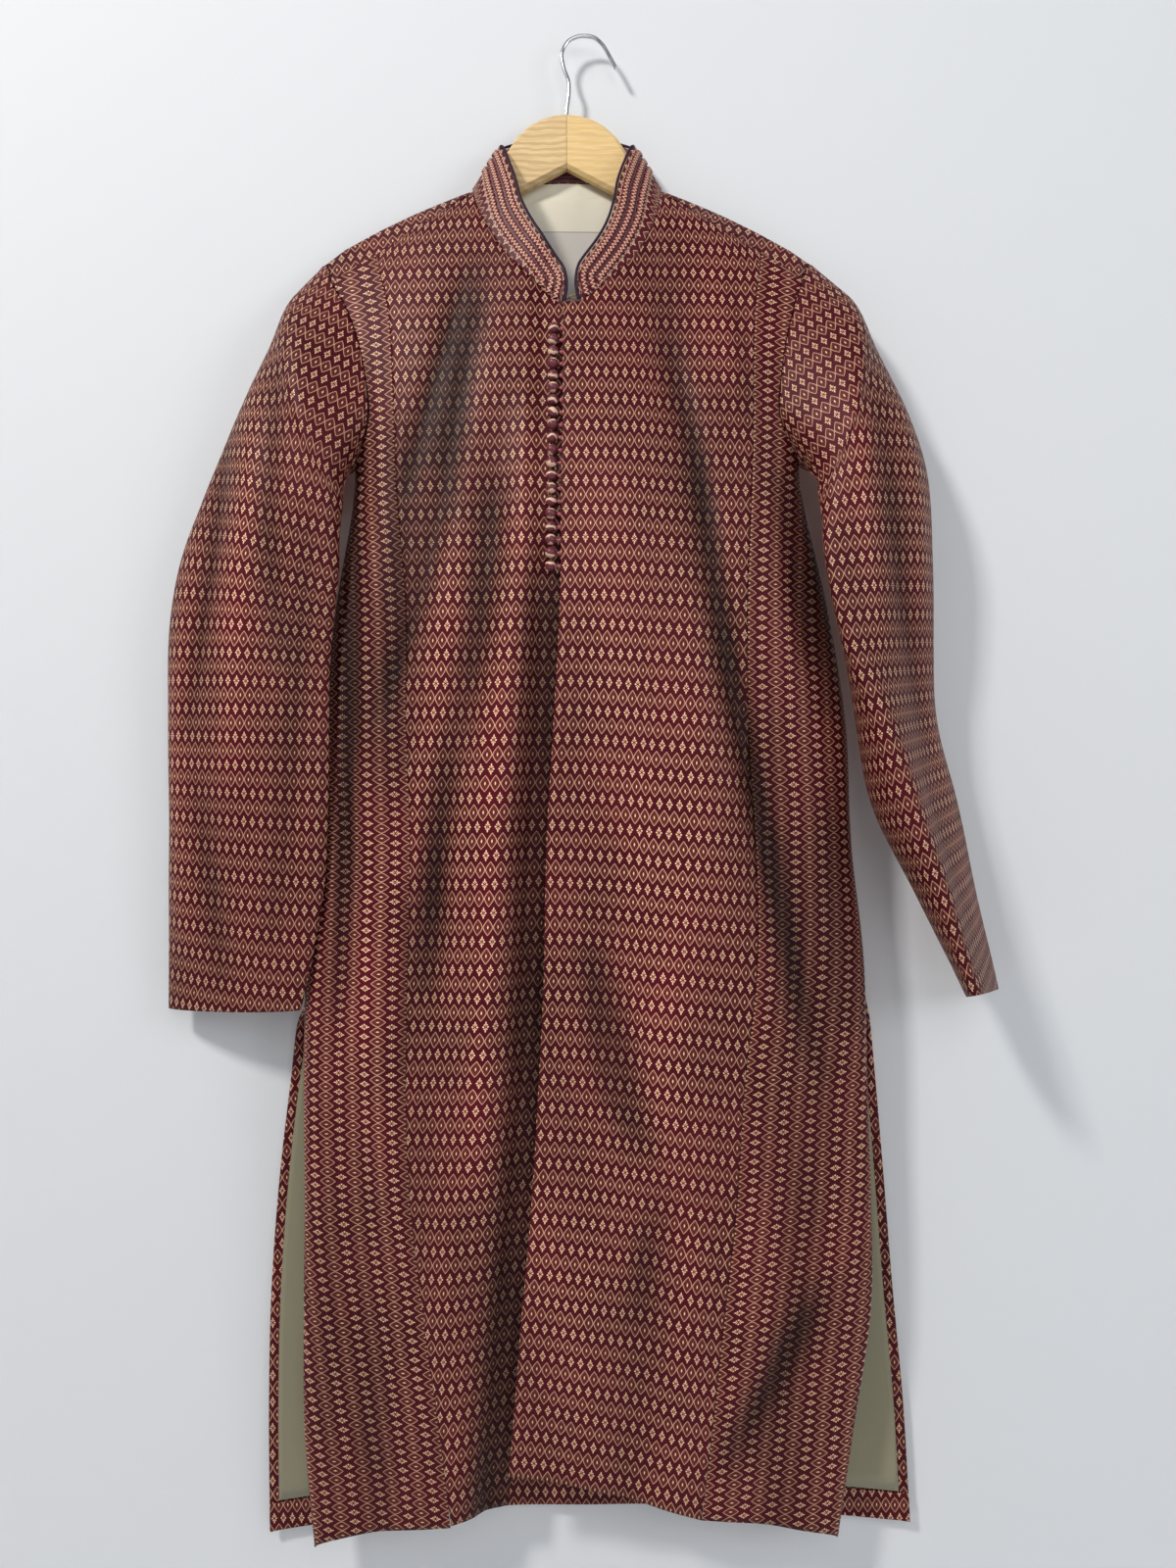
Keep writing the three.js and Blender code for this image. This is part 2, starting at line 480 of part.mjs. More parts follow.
function sleeveGuides(side, rows, i) {
  const outer = new THREE.Vector3(rows[i].x, wallY - rows[i].off, rows[i].z);
  const inner = new THREE.Vector3(rows[i].inX, wallY - rows[i].inOff, rows[i].inZ);
  const middle = (k) => new THREE.Vector3(
    (rows[k].x + rows[k].inX) / 2, wallY - (rows[k].off + rows[k].inOff) / 2, (rows[k].z + rows[k].inZ) / 2);
  const axis = middle(Math.min(i + 1, rows.length - 1)).sub(middle(Math.max(i - 1, 0)));
  const out = axis.cross(inner.clone().sub(outer)).normalize();
  if (out.x * side - out.y < 0) out.negate();
  const fore = middle(i).addScaledVector(out, rows[i].front);
  const rear = middle(i).addScaledVector(out, -rows[i].back);
  return { outer, inner, fore, rear };
}
function ringPoint({ outer, inner, fore, rear }, degrees) {
  const a = (degrees * Math.PI) / 180;
  return outer.clone().add(inner).add(fore).add(rear).multiplyScalar(0.25)
    .addScaledVector(outer.clone().sub(inner), Math.cos(a) / 2)
    .addScaledVector(fore.clone().sub(rear), Math.sin(a) / 2)
    .addScaledVector(outer.clone().add(inner).sub(fore).sub(rear), Math.cos(2 * a) / 4);
}
function sleeve(side, rows) {
  const loop = armLoop(side);
  const rings = [loop.map((s) => s.p.clone().add(new THREE.Vector3(side * sleeveGap, 0, 0)))];
  rows.forEach((_, i) => {
    const guides = sleeveGuides(side, rows, i);
    const even = smooth((i + 1) / 3);
    rings.push(capAngles.map((angle, j) => ringPoint(guides, lerp(angle, evenAngles[j], even))));
  });
  const grid = rings.map((ring, i) => ring.map((p, j) => {
    const along = rings[Math.min(i + 1, rings.length - 1)][j].clone().sub(rings[Math.max(i - 1, 0)][j]);
    const around = ring[(j + 1) % ring.length].clone().sub(ring[(j + ring.length - 1) % ring.length]);
    const n = around.cross(along).multiplyScalar(side).normalize();
    if (i === 0 && side * n.x > side * loop[j].n.x) n.setX(loop[j].n.x).normalize();
    return { p, n: i === 0 && ridgeColumns.includes(j) ? loop[j].n : n };
  }));
  return wall(grid, cloth.sleeve, { ring: true, flip: side > 0 });
}
add('sleeve_right', sleeve(-1, sleeveRight), 'brocade');
add('sleeve_left', sleeve(1, sleeveLeft), 'brocade');

// ---- the collar ----
function collarEnds(side, row) {
  const lowX = neckCentre(row.z) + side * row.x;
  const highX = neckCentre(row.topZ) + side * row.topX;
  const onFront = () => frontOff(angleAt(lowX, row.z), row.z).off - (side < 0 ? sunk(lowX, row.z) : 0);
  const off = row.off === undefined ? onFront() : row.off;
  const topOff = row.topOff === undefined ? off + row.lean : row.topOff;
  const above = row.off === undefined ? 0.15 : 0.9;
  return { low: new THREE.Vector3(lowX, wallY - off, row.z + above), high: new THREE.Vector3(highX, wallY - topOff, row.topZ) };
}
const collarStations = [...collarRows.map((row) => collarEnds(-1, row)), ...collarRows.slice(0, -1).reverse().map((row) => collarEnds(1, row))];
const lastStation = collarStations.length - 1;
const highCurve = new THREE.CatmullRomCurve3(collarStations.map((s) => s.high));
function station(k) {
  const i = Math.min(Math.floor(k), lastStation - 1);
  const low = collarStations[i].low.clone().lerp(collarStations[i + 1].low, k - i);
  const high = highCurve.getPoint(k / lastStation);
  return { low, high, height: low.distanceTo(high) };
}
// Distance along the collar, measured half way up, at every fortieth of a station.
const fine = 40;
const alongCollar = [0];
for (let i = 1; i <= lastStation * fine; i++) {
  const [a, b] = [station((i - 1) / fine), station(i / fine)];
  alongCollar.push(alongCollar[i - 1] + a.low.add(a.high).distanceTo(b.low.add(b.high)) / 2);
}
const collarLength = alongCollar[alongCollar.length - 1];
function stationAt(distance) {
  let i = 1;
  while (i < alongCollar.length - 1 && alongCollar[i] < distance) i++;
  return clamp((i - 1 + (distance - alongCollar[i - 1]) / (alongCollar[i] - alongCollar[i - 1])) / fine, 0, lastStation);
}
// A point of the collar's outer face: a distance along it and one down from its top edge.
function collarPoint(k, down) {
  const s = station(k);
  return s.high.clone().lerp(s.low, down / s.height);
}
function collarSample(k, down) {
  const p = collarPoint(k, down);
  const along = collarPoint(Math.min(k + 0.05, lastStation), down).sub(collarPoint(Math.max(k - 0.05, 0), down)).normalize();
  const up = collarPoint(k, down - 1).sub(collarPoint(k, down + 1)).normalize();
  return { p, n: up.cross(along).normalize() };
}
const fromEnd = (k) => {
  const at = alongCollar[Math.round(k * fine)];
  return Math.min(at, collarLength - at);
};
const roundAt = (distance) => {
  const inside = Math.max(0, collar.endRound - distance);
  return collar.endRound - Math.sqrt(collar.endRound * collar.endRound - inside * inside);
};
const endColumns = [0, 1, 3.5, 7.5, 13].map(stationAt);
const middleColumns = [];
for (let k = 1; k <= lastStation - 1; k += 0.25) {
  const sharp = Math.abs(Math.abs(k - lastStation / 2) - 2.5) < 1.3;
  const clear = k > endColumns[4] + 0.2 && k < lastStation - endColumns[4] - 0.2;
  if (clear && (sharp || k % 1 === 0)) middleColumns.push(k);
}
const collarColumns = [...endColumns, ...middleColumns, ...endColumns.map((k) => lastStation - k).reverse()];

function band(inside, thick, rise) {
  const grid = [0, 0.5, 1].map((share) => collarColumns.map((k) => {
    const from = roundAt(fromEnd(k));
    return moved(collarSample(k, lerp(from, station(k).height - rise, share)), -inside);
  }));
  return wall(grid, thick, { flip: true });
}
add('collar_outer', band(0, cloth.collar, 0), 'brocade');
add('collar_inner', band(cloth.collar + lift, cloth.lining, collar.innerRise), 'brocade');

// A line that keeps one distance from the collar's edge, round both of its front corners.
function collarLine(inset, low) {
  const radius = Math.max(collar.endRound - inset, 3);
  const corner = inset + radius;
  const side = (mirror) => {
    const list = [];
    const at = (distance, down) => list.push([mirror ? lastStation - stationAt(distance) : stationAt(distance), down]);
    const height = station(stationAt(inset)).height - low;
    for (const share of [1, 0.5]) at(inset, lerp(corner, height, share));
    for (const angle of [0, 30, 60, 90]) {
      const a = (angle * Math.PI) / 180;
      at(corner - radius * Math.cos(a), corner - radius * Math.sin(a));
    }
    return list;
  };
  const start = stationAt(corner);
  const straight = collarColumns.filter((k) => k > start + 0.15 && k < lastStation - start - 0.15);
  return [...side(false), ...straight.map((k) => [k, inset]), ...side(true).reverse()];
}
function braid(inset) {
  const line = collarLine(inset, 0.8).map(([k, down]) => collarSample(k, down));
  const grid = [-1, 1].map((edge) => line.map((s, i) => {
    const along = line[Math.min(i + 1, line.length - 1)].p.clone().sub(line[Math.max(i - 1, 0)].p);
    const across = along.cross(s.n).normalize().multiplyScalar(edge * collar.braidWide / 2);
    return moved({ p: s.p.clone().add(across), n: s.n }, cloth.braid + braidLift);
  }));
  return wall(grid, cloth.braid);
}
collar.braidAt.forEach((inset, i) => add(`collar_braid_${i + 1}`, braid(inset), 'braid'));

// ---- rods: the piping, the loops, the hook ----
function rod(points, radius, sides, ends = 1) {
  const curve = new THREE.CatmullRomCurve3(points, false, 'centripetal');
  const steps = (points.length - 1) * ends;
  const frames = curve.computeFrenetFrames(steps, false);
  const vertices = [];
  for (let i = 0; i <= steps; i++) {
    const p = curve.getPointAt(i / steps);
    for (let j = 0; j < sides; j++) {
      const a = (j * 2 * Math.PI) / sides;
      vertices.push(...p.clone().addScaledVector(frames.normals[i], radius * Math.cos(a))
        .addScaledVector(frames.binormals[i], radius * Math.sin(a)).toArray());
    }
  }
  const index = [];
  for (let i = 0; i < steps; i++) {
    for (let j = 0; j < sides; j++) {
      const [a, b] = [i * sides + j, i * sides + ((j + 1) % sides)];
      index.push(a, b, b + sides, a, b + sides, a + sides);
    }
  }
  for (let j = 1; j < sides - 1; j++) index.push(0, j + 1, j, steps * sides, steps * sides + j, steps * sides + j + 1);
  const geometry = new THREE.BufferGeometry();
  geometry.setAttribute('position', new THREE.Float32BufferAttribute(vertices, 3));
  geometry.setIndex(index);
  return geometry;
}
const pipingIn = (cloth.collar + gap + cloth.lining) / 2;
const pipingPath = collarLine(0, 2).map(([k, down], i, all) => {
  const s = collarSample(k, down);
  const before = collarPoint(...all[Math.max(i - 1, 0)]);
  const along = collarPoint(...all[Math.min(i + 1, all.length - 1)]).sub(before);
  const off = along.cross(s.n).normalize().multiplyScalar(collar.piping + lift);
  return s.p.clone().add(off).addScaledVector(s.n, -pipingIn);
});
add('collar_piping', rod(pipingPath, collar.piping, 6), 'piping');

// The collar's hook and eye: x and z from the middle of the gap, and how far inside the surface.
const clasp = { z: -243, wire: 0.4 };
const hookBend = [[-11, 10.2, 0], [-4.5, 10, 0], [-1.2, 7, 0], [1.4, 3.7, 0], [1, 2.1, 0], [-1, 1.9, 0]];
const eyeBend = [[8.5, 3.9, 1.7], [3.5, 3.7, 1.8], [-0.3, 3.6, 0], [3.5, 3.7, -1.8], [8.5, 3.9, -1.7]];
const claspRod = (bend) => rod(bend.map(([x, y, z]) => new THREE.Vector3(
  neckCentre(clasp.z) + x, front(angleAt(neckCentre(clasp.z), clasp.z), clasp.z).y + y, clasp.z + z)), clasp.wire, 6, 2);
add('collar_hook', claspRod(hookBend), 'brass');
add('collar_eye', claspRod(eyeBend), 'brass');

// ---- buttons and loops ----
const buttonAt = (i) => {
  const z = buttons.topZ - i * buttons.pitch;
  const x = body.edge(z) - buttons.inFromEdge;
  const s = frontSample(angleAt(x, z), z);
  s.p.y += overlap.recess;
  return moved(s, buttons.radius + gap).p;
};
for (let i = 0; i < buttons.count; i++) {
  const { x, y, z } = buttonAt(i);
  add(`button_${String(i + 1).padStart(2, '0')}`, new THREE.SphereGeometry(buttons.radius, 10, 7).translate(x, y, z), 'brocade');
}
const loopStrip = { from: -3.2, sewn: 1, to: 9, deep: 2.1, thick: 1.2, tall: 3 };
const stripRow = (z, ins) => ins.map((dx) => {
  const x = body.edge(z) + dx;
  return moved(frontSample(angleAt(x, z), z), -loopStrip.deep);
});
const ends = [buttons.topZ + 5, buttons.topZ - (buttons.count - 1) * buttons.pitch - 5];
const stripRows = Array.from({ length: 9 }, (_, i) => stripRow(lerp(ends[0], ends[1], i / 8), [loopStrip.sewn, loopStrip.to]));
let loops = toManifold(wall(stripRows, loopStrip.thick));
for (let i = 0; i < buttons.count; i++) {
  const z = buttons.topZ - i * buttons.pitch;
  const tab = [z + loopStrip.tall / 2, z - loopStrip.tall / 2].map((h) => stripRow(h, [loopStrip.from, loopStrip.sewn + 1]));
  loops = loops.add(toManifold(wall(tab, loopStrip.thick)));
}
add('button_loops', fromManifold(loops), 'brocade');

// ---- the hanger and its hook ----
function hangerOutline() {
  const top = [];
  for (let o = 0; o <= 66; o += 11) {
    const centreZ = hanger.topZ - hanger.arch;
    if (o < 50) top.push([o, centreZ + Math.sqrt(hanger.arch * hanger.arch - o * o)]);
  }
  top.push([53, -103.5], [66, -124], [80, -142.5]);
  for (const o of [100, 130, 160, 190, hanger.end - 6]) top.push([o, ridgeZ(hanger.mid + o) - hanger.under]);
  const endTop = ridgeZ(hanger.mid + hanger.end) - hanger.under;
  const endLow = hanger.notchZ - hanger.slope * (hanger.end - 8);
  top.push([hanger.end, endTop - 6], [hanger.end, endLow + 6], [hanger.end - 7, endLow]);
  const low = [[60, hanger.notchZ - hanger.slope * 60]];
  const half = [...top, ...low];
  const shape = new THREE.Shape();
  shape.moveTo(half[0][0], half[0][1]);
  half.slice(1).forEach(([x, z]) => shape.lineTo(x, z));
  shape.lineTo(0, hanger.notchZ);
  half.slice(1).reverse().forEach(([x, z]) => shape.lineTo(-x, z));
  return shape;
}
const extruded = new THREE.ExtrudeGeometry(hangerOutline(), {
  depth: hanger.thick - 2 * hanger.bevel, bevelEnabled: true, bevelSegments: 1,
  bevelThickness: hanger.bevel, bevelSize: hanger.bevel, bevelOffset: -hanger.bevel, curveSegments: 1,
});
extruded.translate(0, 0, -(hanger.thick - 2 * hanger.bevel) / 2).rotateX(Math.PI / 2).translate(hanger.mid, 0, 0);
const boreTop = hanger.topZ + 5;
const bore = toManifold(new THREE.CylinderGeometry(hook.bore, hook.bore, boreTop - hook.boreEndZ, 12)
  .rotateX(Math.PI / 2).translate(hanger.mid, 0, (boreTop + hook.boreEndZ) / 2));
const wood = toManifold(extruded).subtract(bore);
for (const side of [-1, 1]) {
  const cut = boxAt(hanger.mid + side * (150 + gap / 2), 0, -150, 300, 60, 300);
  add(side < 0 ? 'hanger_right' : 'hanger_left', fromManifold(wood.intersect(cut)), 'wood');
}
add('hook', rod(hookPath.map(([x, z]) => new THREE.Vector3(x, 0, z)), hook.wire, 10, 2), 'steel');

export default coat;
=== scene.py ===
import bpy
import math
import numpy as np
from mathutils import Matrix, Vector


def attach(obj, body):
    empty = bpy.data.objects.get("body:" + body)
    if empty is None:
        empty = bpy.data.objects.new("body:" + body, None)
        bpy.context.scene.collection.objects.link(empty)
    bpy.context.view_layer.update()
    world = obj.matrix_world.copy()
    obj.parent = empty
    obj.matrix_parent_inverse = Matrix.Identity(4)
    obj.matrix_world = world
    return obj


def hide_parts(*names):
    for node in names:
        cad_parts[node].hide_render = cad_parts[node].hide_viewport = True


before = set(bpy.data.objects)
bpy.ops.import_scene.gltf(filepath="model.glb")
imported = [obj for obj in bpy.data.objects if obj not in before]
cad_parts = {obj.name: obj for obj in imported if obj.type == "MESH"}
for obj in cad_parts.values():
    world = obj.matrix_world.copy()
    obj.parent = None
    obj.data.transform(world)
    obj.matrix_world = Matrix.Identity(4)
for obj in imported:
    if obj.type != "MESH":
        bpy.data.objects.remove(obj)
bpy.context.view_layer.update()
scene = bpy.context.scene
print("frame loaded:", len(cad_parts), "nodes")

# Lengths below are in millimetres in the hanger's frame; meshes are written in metres.
mm = 0.001


def linked(name, data):
    obj = bpy.data.objects.new(name, data)
    scene.collection.objects.link(obj)
    return obj


# ---- camera, light and stage ----
view = {"place": (0.0026, -1.029, -0.6515), "lens": 27.05, "sensor": 36.0}
stage = {"wallY": 0.0165, "floorZ": -1.46, "topZ": 1.4, "frontY": -3.2, "half": 2.6, "pale": (0.69, 0.70, 0.715, 1),
         "sky": (0.80, 0.84, 0.90, 1), "skyStrength": 0.26}
lights = [
    {"name": "ceilingLight", "place": (-1.55, -1.75, 1.3), "aim": (0.0, 0.0, -0.75), "size": 0.36, "watts": 62.0,
     "lightTint": (1.0, 0.985, 0.96)},
    {"name": "frontLight", "place": (0.35, -2.3, 0.35), "aim": (0.0, 0.0, -0.7), "size": 1.2, "watts": 12.0,
     "lightTint": (0.97, 0.985, 1.0)},
    {"name": "rightLight", "place": (1.9, -1.6, -0.1), "aim": (0.1, 0.0, -0.8), "size": 0.9, "watts": 12.0,
     "lightTint": (0.96, 0.98, 1.0)},
    {"name": "rearLight", "place": (0.7, 2.2, 0.5), "aim": (0.0, 0.0, -0.7), "size": 1.2, "watts": 30.0,
     "lightTint": (1.0, 1.0, 1.0)},
]

cameraData = bpy.data.cameras.new("viewCamera")
cameraData.sensor_fit = "VERTICAL"
cameraData.sensor_height = view["sensor"]
cameraData.lens = view["lens"]
cameraData.clip_start = 0.02
camera = linked("viewCamera", cameraData)
camera.location = view["place"]
camera.rotation_euler = (math.pi / 2, 0, 0)
scene.camera = camera

for spec in lights:
    data = bpy.data.lights.new(spec["name"], "AREA")
    data.size = spec["size"]
    data.energy = spec["watts"]
    data.color = spec["lightTint"]
    lamp = linked(spec["name"], data)
    lamp.location = spec["place"]
    lamp.rotation_euler = (Vector(spec["aim"]) - lamp.location).to_track_quat("-Z", "Y").to_euler()

scene.world = bpy.data.worlds.new("studioWorld")
scene.world.use_nodes = True
sky = scene.world.node_tree.nodes["Background"]
sky.inputs["Color"].default_value = stage["sky"]
sky.inputs["Strength"].default_value = stage["skyStrength"]
scene.view_settings.view_transform = "Standard"

# ---- node helpers ----
class Graph:
    def __init__(self, tree):
        self.tree = tree

    def node(self, kind, **settings):
        made = self.tree.nodes.new(kind)
        for key, value in settings.items():
            setattr(made, key, value)
        return made

    def put(self, socket, value):
        if isinstance(value, bpy.types.NodeSocket):
            self.tree.links.new(value, socket)
        elif value is not None:
            socket.default_value = value

    def feed(self, made, values):
        for label, value in values.items():
            self.put(made.inputs[label], value)
        return made

    def math(self, operation, *values):
        return self.feed(self.node("ShaderNodeMath", operation=operation), dict(enumerate(values))).outputs[0]

    def times(self, *values):
        return self.math("MULTIPLY", *values)

    def plus(self, *values):
        return self.math("ADD", *values)

    def minus(self, *values):
        return self.math("SUBTRACT", *values)

    def over(self, *values):
        return self.math("DIVIDE", *values)

    def between(self, value, low, high, soft):
        # 1 inside low..high with soft edges
        return self.times(self.ramp(value, low - soft, low + soft), self.ramp(value, high + soft, high - soft))

    def ramp(self, value, start, end, toLow=0.0, toHigh=1.0):
        if start > end:
            start, end, toLow, toHigh = end, start, toHigh, toLow
        made = self.node("ShaderNodeMapRange", interpolation_type="SMOOTHSTEP")
        self.feed(made, {"Value": value, "From Min": start, "From Max": end, "To Min": toLow, "To Max": toHigh})
        return made.outputs["Result"]

    def mix(self, factor, first, second, blend="MIX"):
        # inputs 6 and 7 are the two colours, output 2 the mixed one
        made = self.node("ShaderNodeMix", data_type="RGBA", blend_type=blend)
        return self.feed(made, {"Factor": factor, 6: first, 7: second}).outputs[2]

    def stretch(self, vector, scale, place=(0, 0, 0)):
        made = self.node("ShaderNodeMapping")
        return self.feed(made, {"Vector": vector, "Scale": scale, "Location": place}).outputs["Vector"]

    def noise(self, vector, scale, detail, rough=0.5):
        made = self.node("ShaderNodeTexNoise")
        self.feed(made, {"Vector": self.stretch(vector, scale), "Scale": 1.0, "Detail": detail, "Roughness": rough})
        return made.outputs["Fac"]

    def bump(self, height, strength, distance, normal=None):
        made = self.node("ShaderNodeBump")
        self.feed(made, {"Height": height, "Strength": strength, "Distance": distance, "Normal": normal})
        return made.outputs["Normal"]

    def uv(self):
        return self.node("ShaderNodeUVMap", uv_map="cloth").outputs["UV"]

    def place(self):
        return self.node("ShaderNodeTexCoord").outputs["Object"]

    def split(self, vector):
        return self.feed(self.node("ShaderNodeSeparateXYZ"), {0: vector}).outputs

    def millimetres(self, vector):
        return [self.times(axis, 1000.0) for axis in self.split(vector)[:2]]


def newGroup(name, inputs, outputs):
    tree = bpy.data.node_groups.new(name, "ShaderNodeTree")
    kinds = {"vector": "NodeSocketVector", "value": "NodeSocketFloat", "colour": "NodeSocketColor"}
    for label, kind, default in inputs:
        socket = tree.interface.new_socket(name=label, in_out="INPUT", socket_type=kinds[kind])
        if default is not None:
            socket.default_value = default
    for label, kind in outputs:
        tree.interface.new_socket(name=label, in_out="OUTPUT", socket_type=kinds[kind])
    graph = Graph(tree)
    return graph, graph.node("NodeGroupInput"), graph.node("NodeGroupOutput")


def newMaterial(name):
    material = bpy.data.materials.new(name)
    material.use_nodes = True
    return material, Graph(material.node_tree), material.node_tree.nodes["Principled BSDF"]


def shaded(colour, factor=1.0):
    return tuple(c * factor for c in colour[:3]) + (1,)


# ---- brocade: rows of pointed ovals between rows of small florets ----
# A mark is x and y from the middle of its cell, half its width and half its height.
brocadeCloth = {
    "pitch": 8.0, "repeat": 23.2, "ovalTall": 6.9, "ovalWide": 4.0, "ovalPower": 1.45, "line": 0.46, "fill": 0.24,
    "core": [(0.0, 0.0, 0.55, 1.45)], "dots": [(1.25, 1.2, 0.55, 0.8), (0.0, 2.9, 0.6, 0.8), (2.2, 0.0, 0.5, 0.8)],
    "floret": [(0.0, 3.1, 0.55, 1.5), (1.75, 0.0, 0.8, 0.75), (1.05, 1.75, 0.55, 0.65)],
    "heart": [(0.0, 0.95, 0.45, 0.5)],
    "ground": (0.062, 0.0026, 0.0072), "threadDark": (0.34, 0.115, 0.07), "threadLight": (0.93, 0.58, 0.37),
    "rough": (0.52, 0.40), "metallic": 0.06, "specular": 0.14,
}


def makeWeave():
    inputs = [("Cloth", "vector", None)]
    inputs += [(key.title(), "value", brocadeCloth[key]) for key in ("pitch", "repeat")]
    outputs = [(label, "value") for label in ("Motif", "Glow", "Height", "Patch")]
    graph, start, end = newGroup("brocadeWeave", inputs, outputs)
    cloth, pitch, repeat = [start.outputs[label] for label in ("Cloth", "Pitch", "Repeat")]
    u, v = graph.millimetres(cloth)

    def cell(value, size, shift):
        moved = graph.math("FRACT", graph.plus(graph.over(value, size), shift))
        return graph.math("ABSOLUTE", graph.times(graph.minus(moved, 0.5), size))

    def join(*masks):
        total = masks[0]
        for mask in masks[1:]:
            total = graph.math("MAXIMUM", total, mask)
        return total

    def marks(x, y, key, soft=0.35):
        masks = []
        for cx, cy, rx, ry in brocadeCloth[key]:
            dx, dy = graph.over(graph.minus(x, cx), rx), graph.over(graph.minus(y, cy), ry)
            far = graph.math("SQRT", graph.plus(graph.times(dx, dx), graph.times(dy, dy)))
            masks.append(graph.ramp(far, 1.0 + soft, 1.0 - soft))
        return join(*masks)

    # pointed ovals, tip to tip across the row
    x, y = cell(u, pitch, 0.5), cell(v, repeat, 0.5)
    share = graph.math("MINIMUM", graph.over(y, brocadeCloth["ovalTall"]), 1.3)
    taper = graph.minus(1.0, graph.math("POWER", share, brocadeCloth["ovalPower"]))
    inside = graph.minus(graph.times(taper, brocadeCloth["ovalWide"]), x)
    line = brocadeCloth["line"]
    outline = graph.times(graph.ramp(inside, -0.05, 0.12), graph.ramp(inside, line + 0.3, line))
    core = marks(x, y, "core")
    field = graph.times(graph.ramp(inside, line, line + 0.5), brocadeCloth["fill"])
    field = graph.times(field, graph.minus(1.0, marks(x, y, "dots")))
    ovals = join(outline, field, graph.times(core, 0.95))

    # florets, half a pitch along
    x, y = cell(u, pitch, 0.0), cell(v, repeat, 0.0)
    floret = join(marks(x, y, "floret"), graph.times(marks(x, y, "heart"), 0.8))
    motif = join(ovals, floret)

    # single threads and slow changes of tone
    fine = graph.noise(cloth, (2200, 900, 1), 1.0)
    graph.feed(end, {
        "Motif": graph.times(motif, graph.ramp(fine, 0.15, 0.7, 0.62, 1.0)),
        "Glow": join(core, graph.times(floret, 0.9), graph.times(outline, 0.6)),
        "Height": graph.plus(graph.times(motif, 0.7), graph.times(fine, 0.5)),
        "Patch": graph.noise(cloth, (14, 9, 1), 3.0),
    })
    return graph.tree


weave = makeWeave()


def useWeave(graph, cloth):
    return graph.feed(graph.node("ShaderNodeGroup", node_tree=weave), {"Cloth": cloth}).outputs


def makeBrocade(name):
    material, graph, shader = newMaterial(name)
    cloth = useWeave(graph, graph.uv())
    dark, light = shaded(brocadeCloth["ground"], 0.8), shaded(brocadeCloth["ground"], 1.15)
    ground = graph.mix(graph.ramp(cloth["Patch"], 0.3, 0.7), dark, light)
    thread = graph.mix(cloth["Glow"], shaded(brocadeCloth["threadDark"]), shaded(brocadeCloth["threadLight"]))
    # Painted light and shade: each piece's tone attribute scales the colour, darker in fold troughs and lighter on
    # ridges.
    shade = graph.plus(1.0, graph.node("ShaderNodeAttribute", attribute_name="tone").outputs["Fac"])
    graph.feed(shader, {
        "Base Color": graph.mix(1.0, graph.mix(cloth["Motif"], ground, thread), shade, "MULTIPLY"),
        "Roughness": graph.ramp(cloth["Motif"], 0.0, 1.0, *brocadeCloth["rough"]),
        "Metallic": brocadeCloth["metallic"], "Specular IOR Level": brocadeCloth["specular"],
        "Normal": graph.bump(cloth["Height"], 0.35, 0.0004),
    })
    return material


# Heights of the lining's yoke, in metres, and its colours; the low colour is painted shade, darker lower down inside
# the coat.
yokeSatin = {
    "seam": (-0.1672, -0.1662), "yokeEnd": (-0.1655, -0.1675), "greyEnd": (-0.42, -0.36),
    "insideShadeStart": (-0.40, -0.55),
    "grey": (0.56, 0.51, 0.45, 1), "low": (0.23, 0.205, 0.125, 1), "stitch": (0.16, 0.12, 0.08, 1),
}


def makeLining(name, colour, yoke=False):
    material, graph, shader = newMaterial(name)
    cloth = graph.uv()
    crease, thread = graph.noise(cloth, (16, 5, 1), 4.0, 0.55), graph.noise(cloth, (3000, 700, 1), 1.0)
    # Painted shade in the creases: where the crease bump is low the satin is a tenth darker.
    base = graph.mix(graph.ramp(crease, 0.3, 0.7), shaded(colour, 0.9), colour)
    if yoke:
        height = graph.split(graph.place())[2]
        # Painted shade of the coat's inside: below the yoke the lining darkens towards the low colour.
        low = graph.mix(graph.ramp(height, *yokeSatin["insideShadeStart"]), base, yokeSatin["low"])
        below = graph.times(graph.ramp(height, *yokeSatin["yokeEnd"]), graph.ramp(height, *yokeSatin["greyEnd"]))
        seam = graph.times(graph.between(height, *yokeSatin["seam"], 0.0004), 0.6)
        base = graph.mix(seam, graph.mix(below, low, yokeSatin["grey"]), yokeSatin["stitch"])
    graph.feed(shader, {
        "Base Color": base, "Roughness": graph.ramp(thread, 0.2, 0.8, 0.34, 0.46),
        "Sheen Weight": 0.15, "Specular IOR Level": 0.5,
        "Normal": graph.bump(crease, 0.5, 0.004, graph.bump(thread, 0.15, 0.0002)),
    })
    return material


brocade = makeBrocade("brocadeCloth")
lining = makeLining("liningSatin", (0.76, 0.70, 0.55, 1), True)

# ---- the coat's own measures ----
coat = {
    "cloth": 1.5, "wall": 16.0, "ridge": 17.0, "neckHalf": 81.0, "fall": 0.36, "curve": 0.001, "shoulderEnd": 213.0,
    "neckMid": -15.5, "neckSwing": 4.0, "neckZ": -135.0, "chestReach": 110.0, "chestPower": 0.6,
    "bellyPower": 0.75, "backFlat": 5.0, "backTurn": 130.0, "slitZ": -830.0,
    "recess": 6.5, "recessFrom": 31.0, "recessTo": 15.0,
}
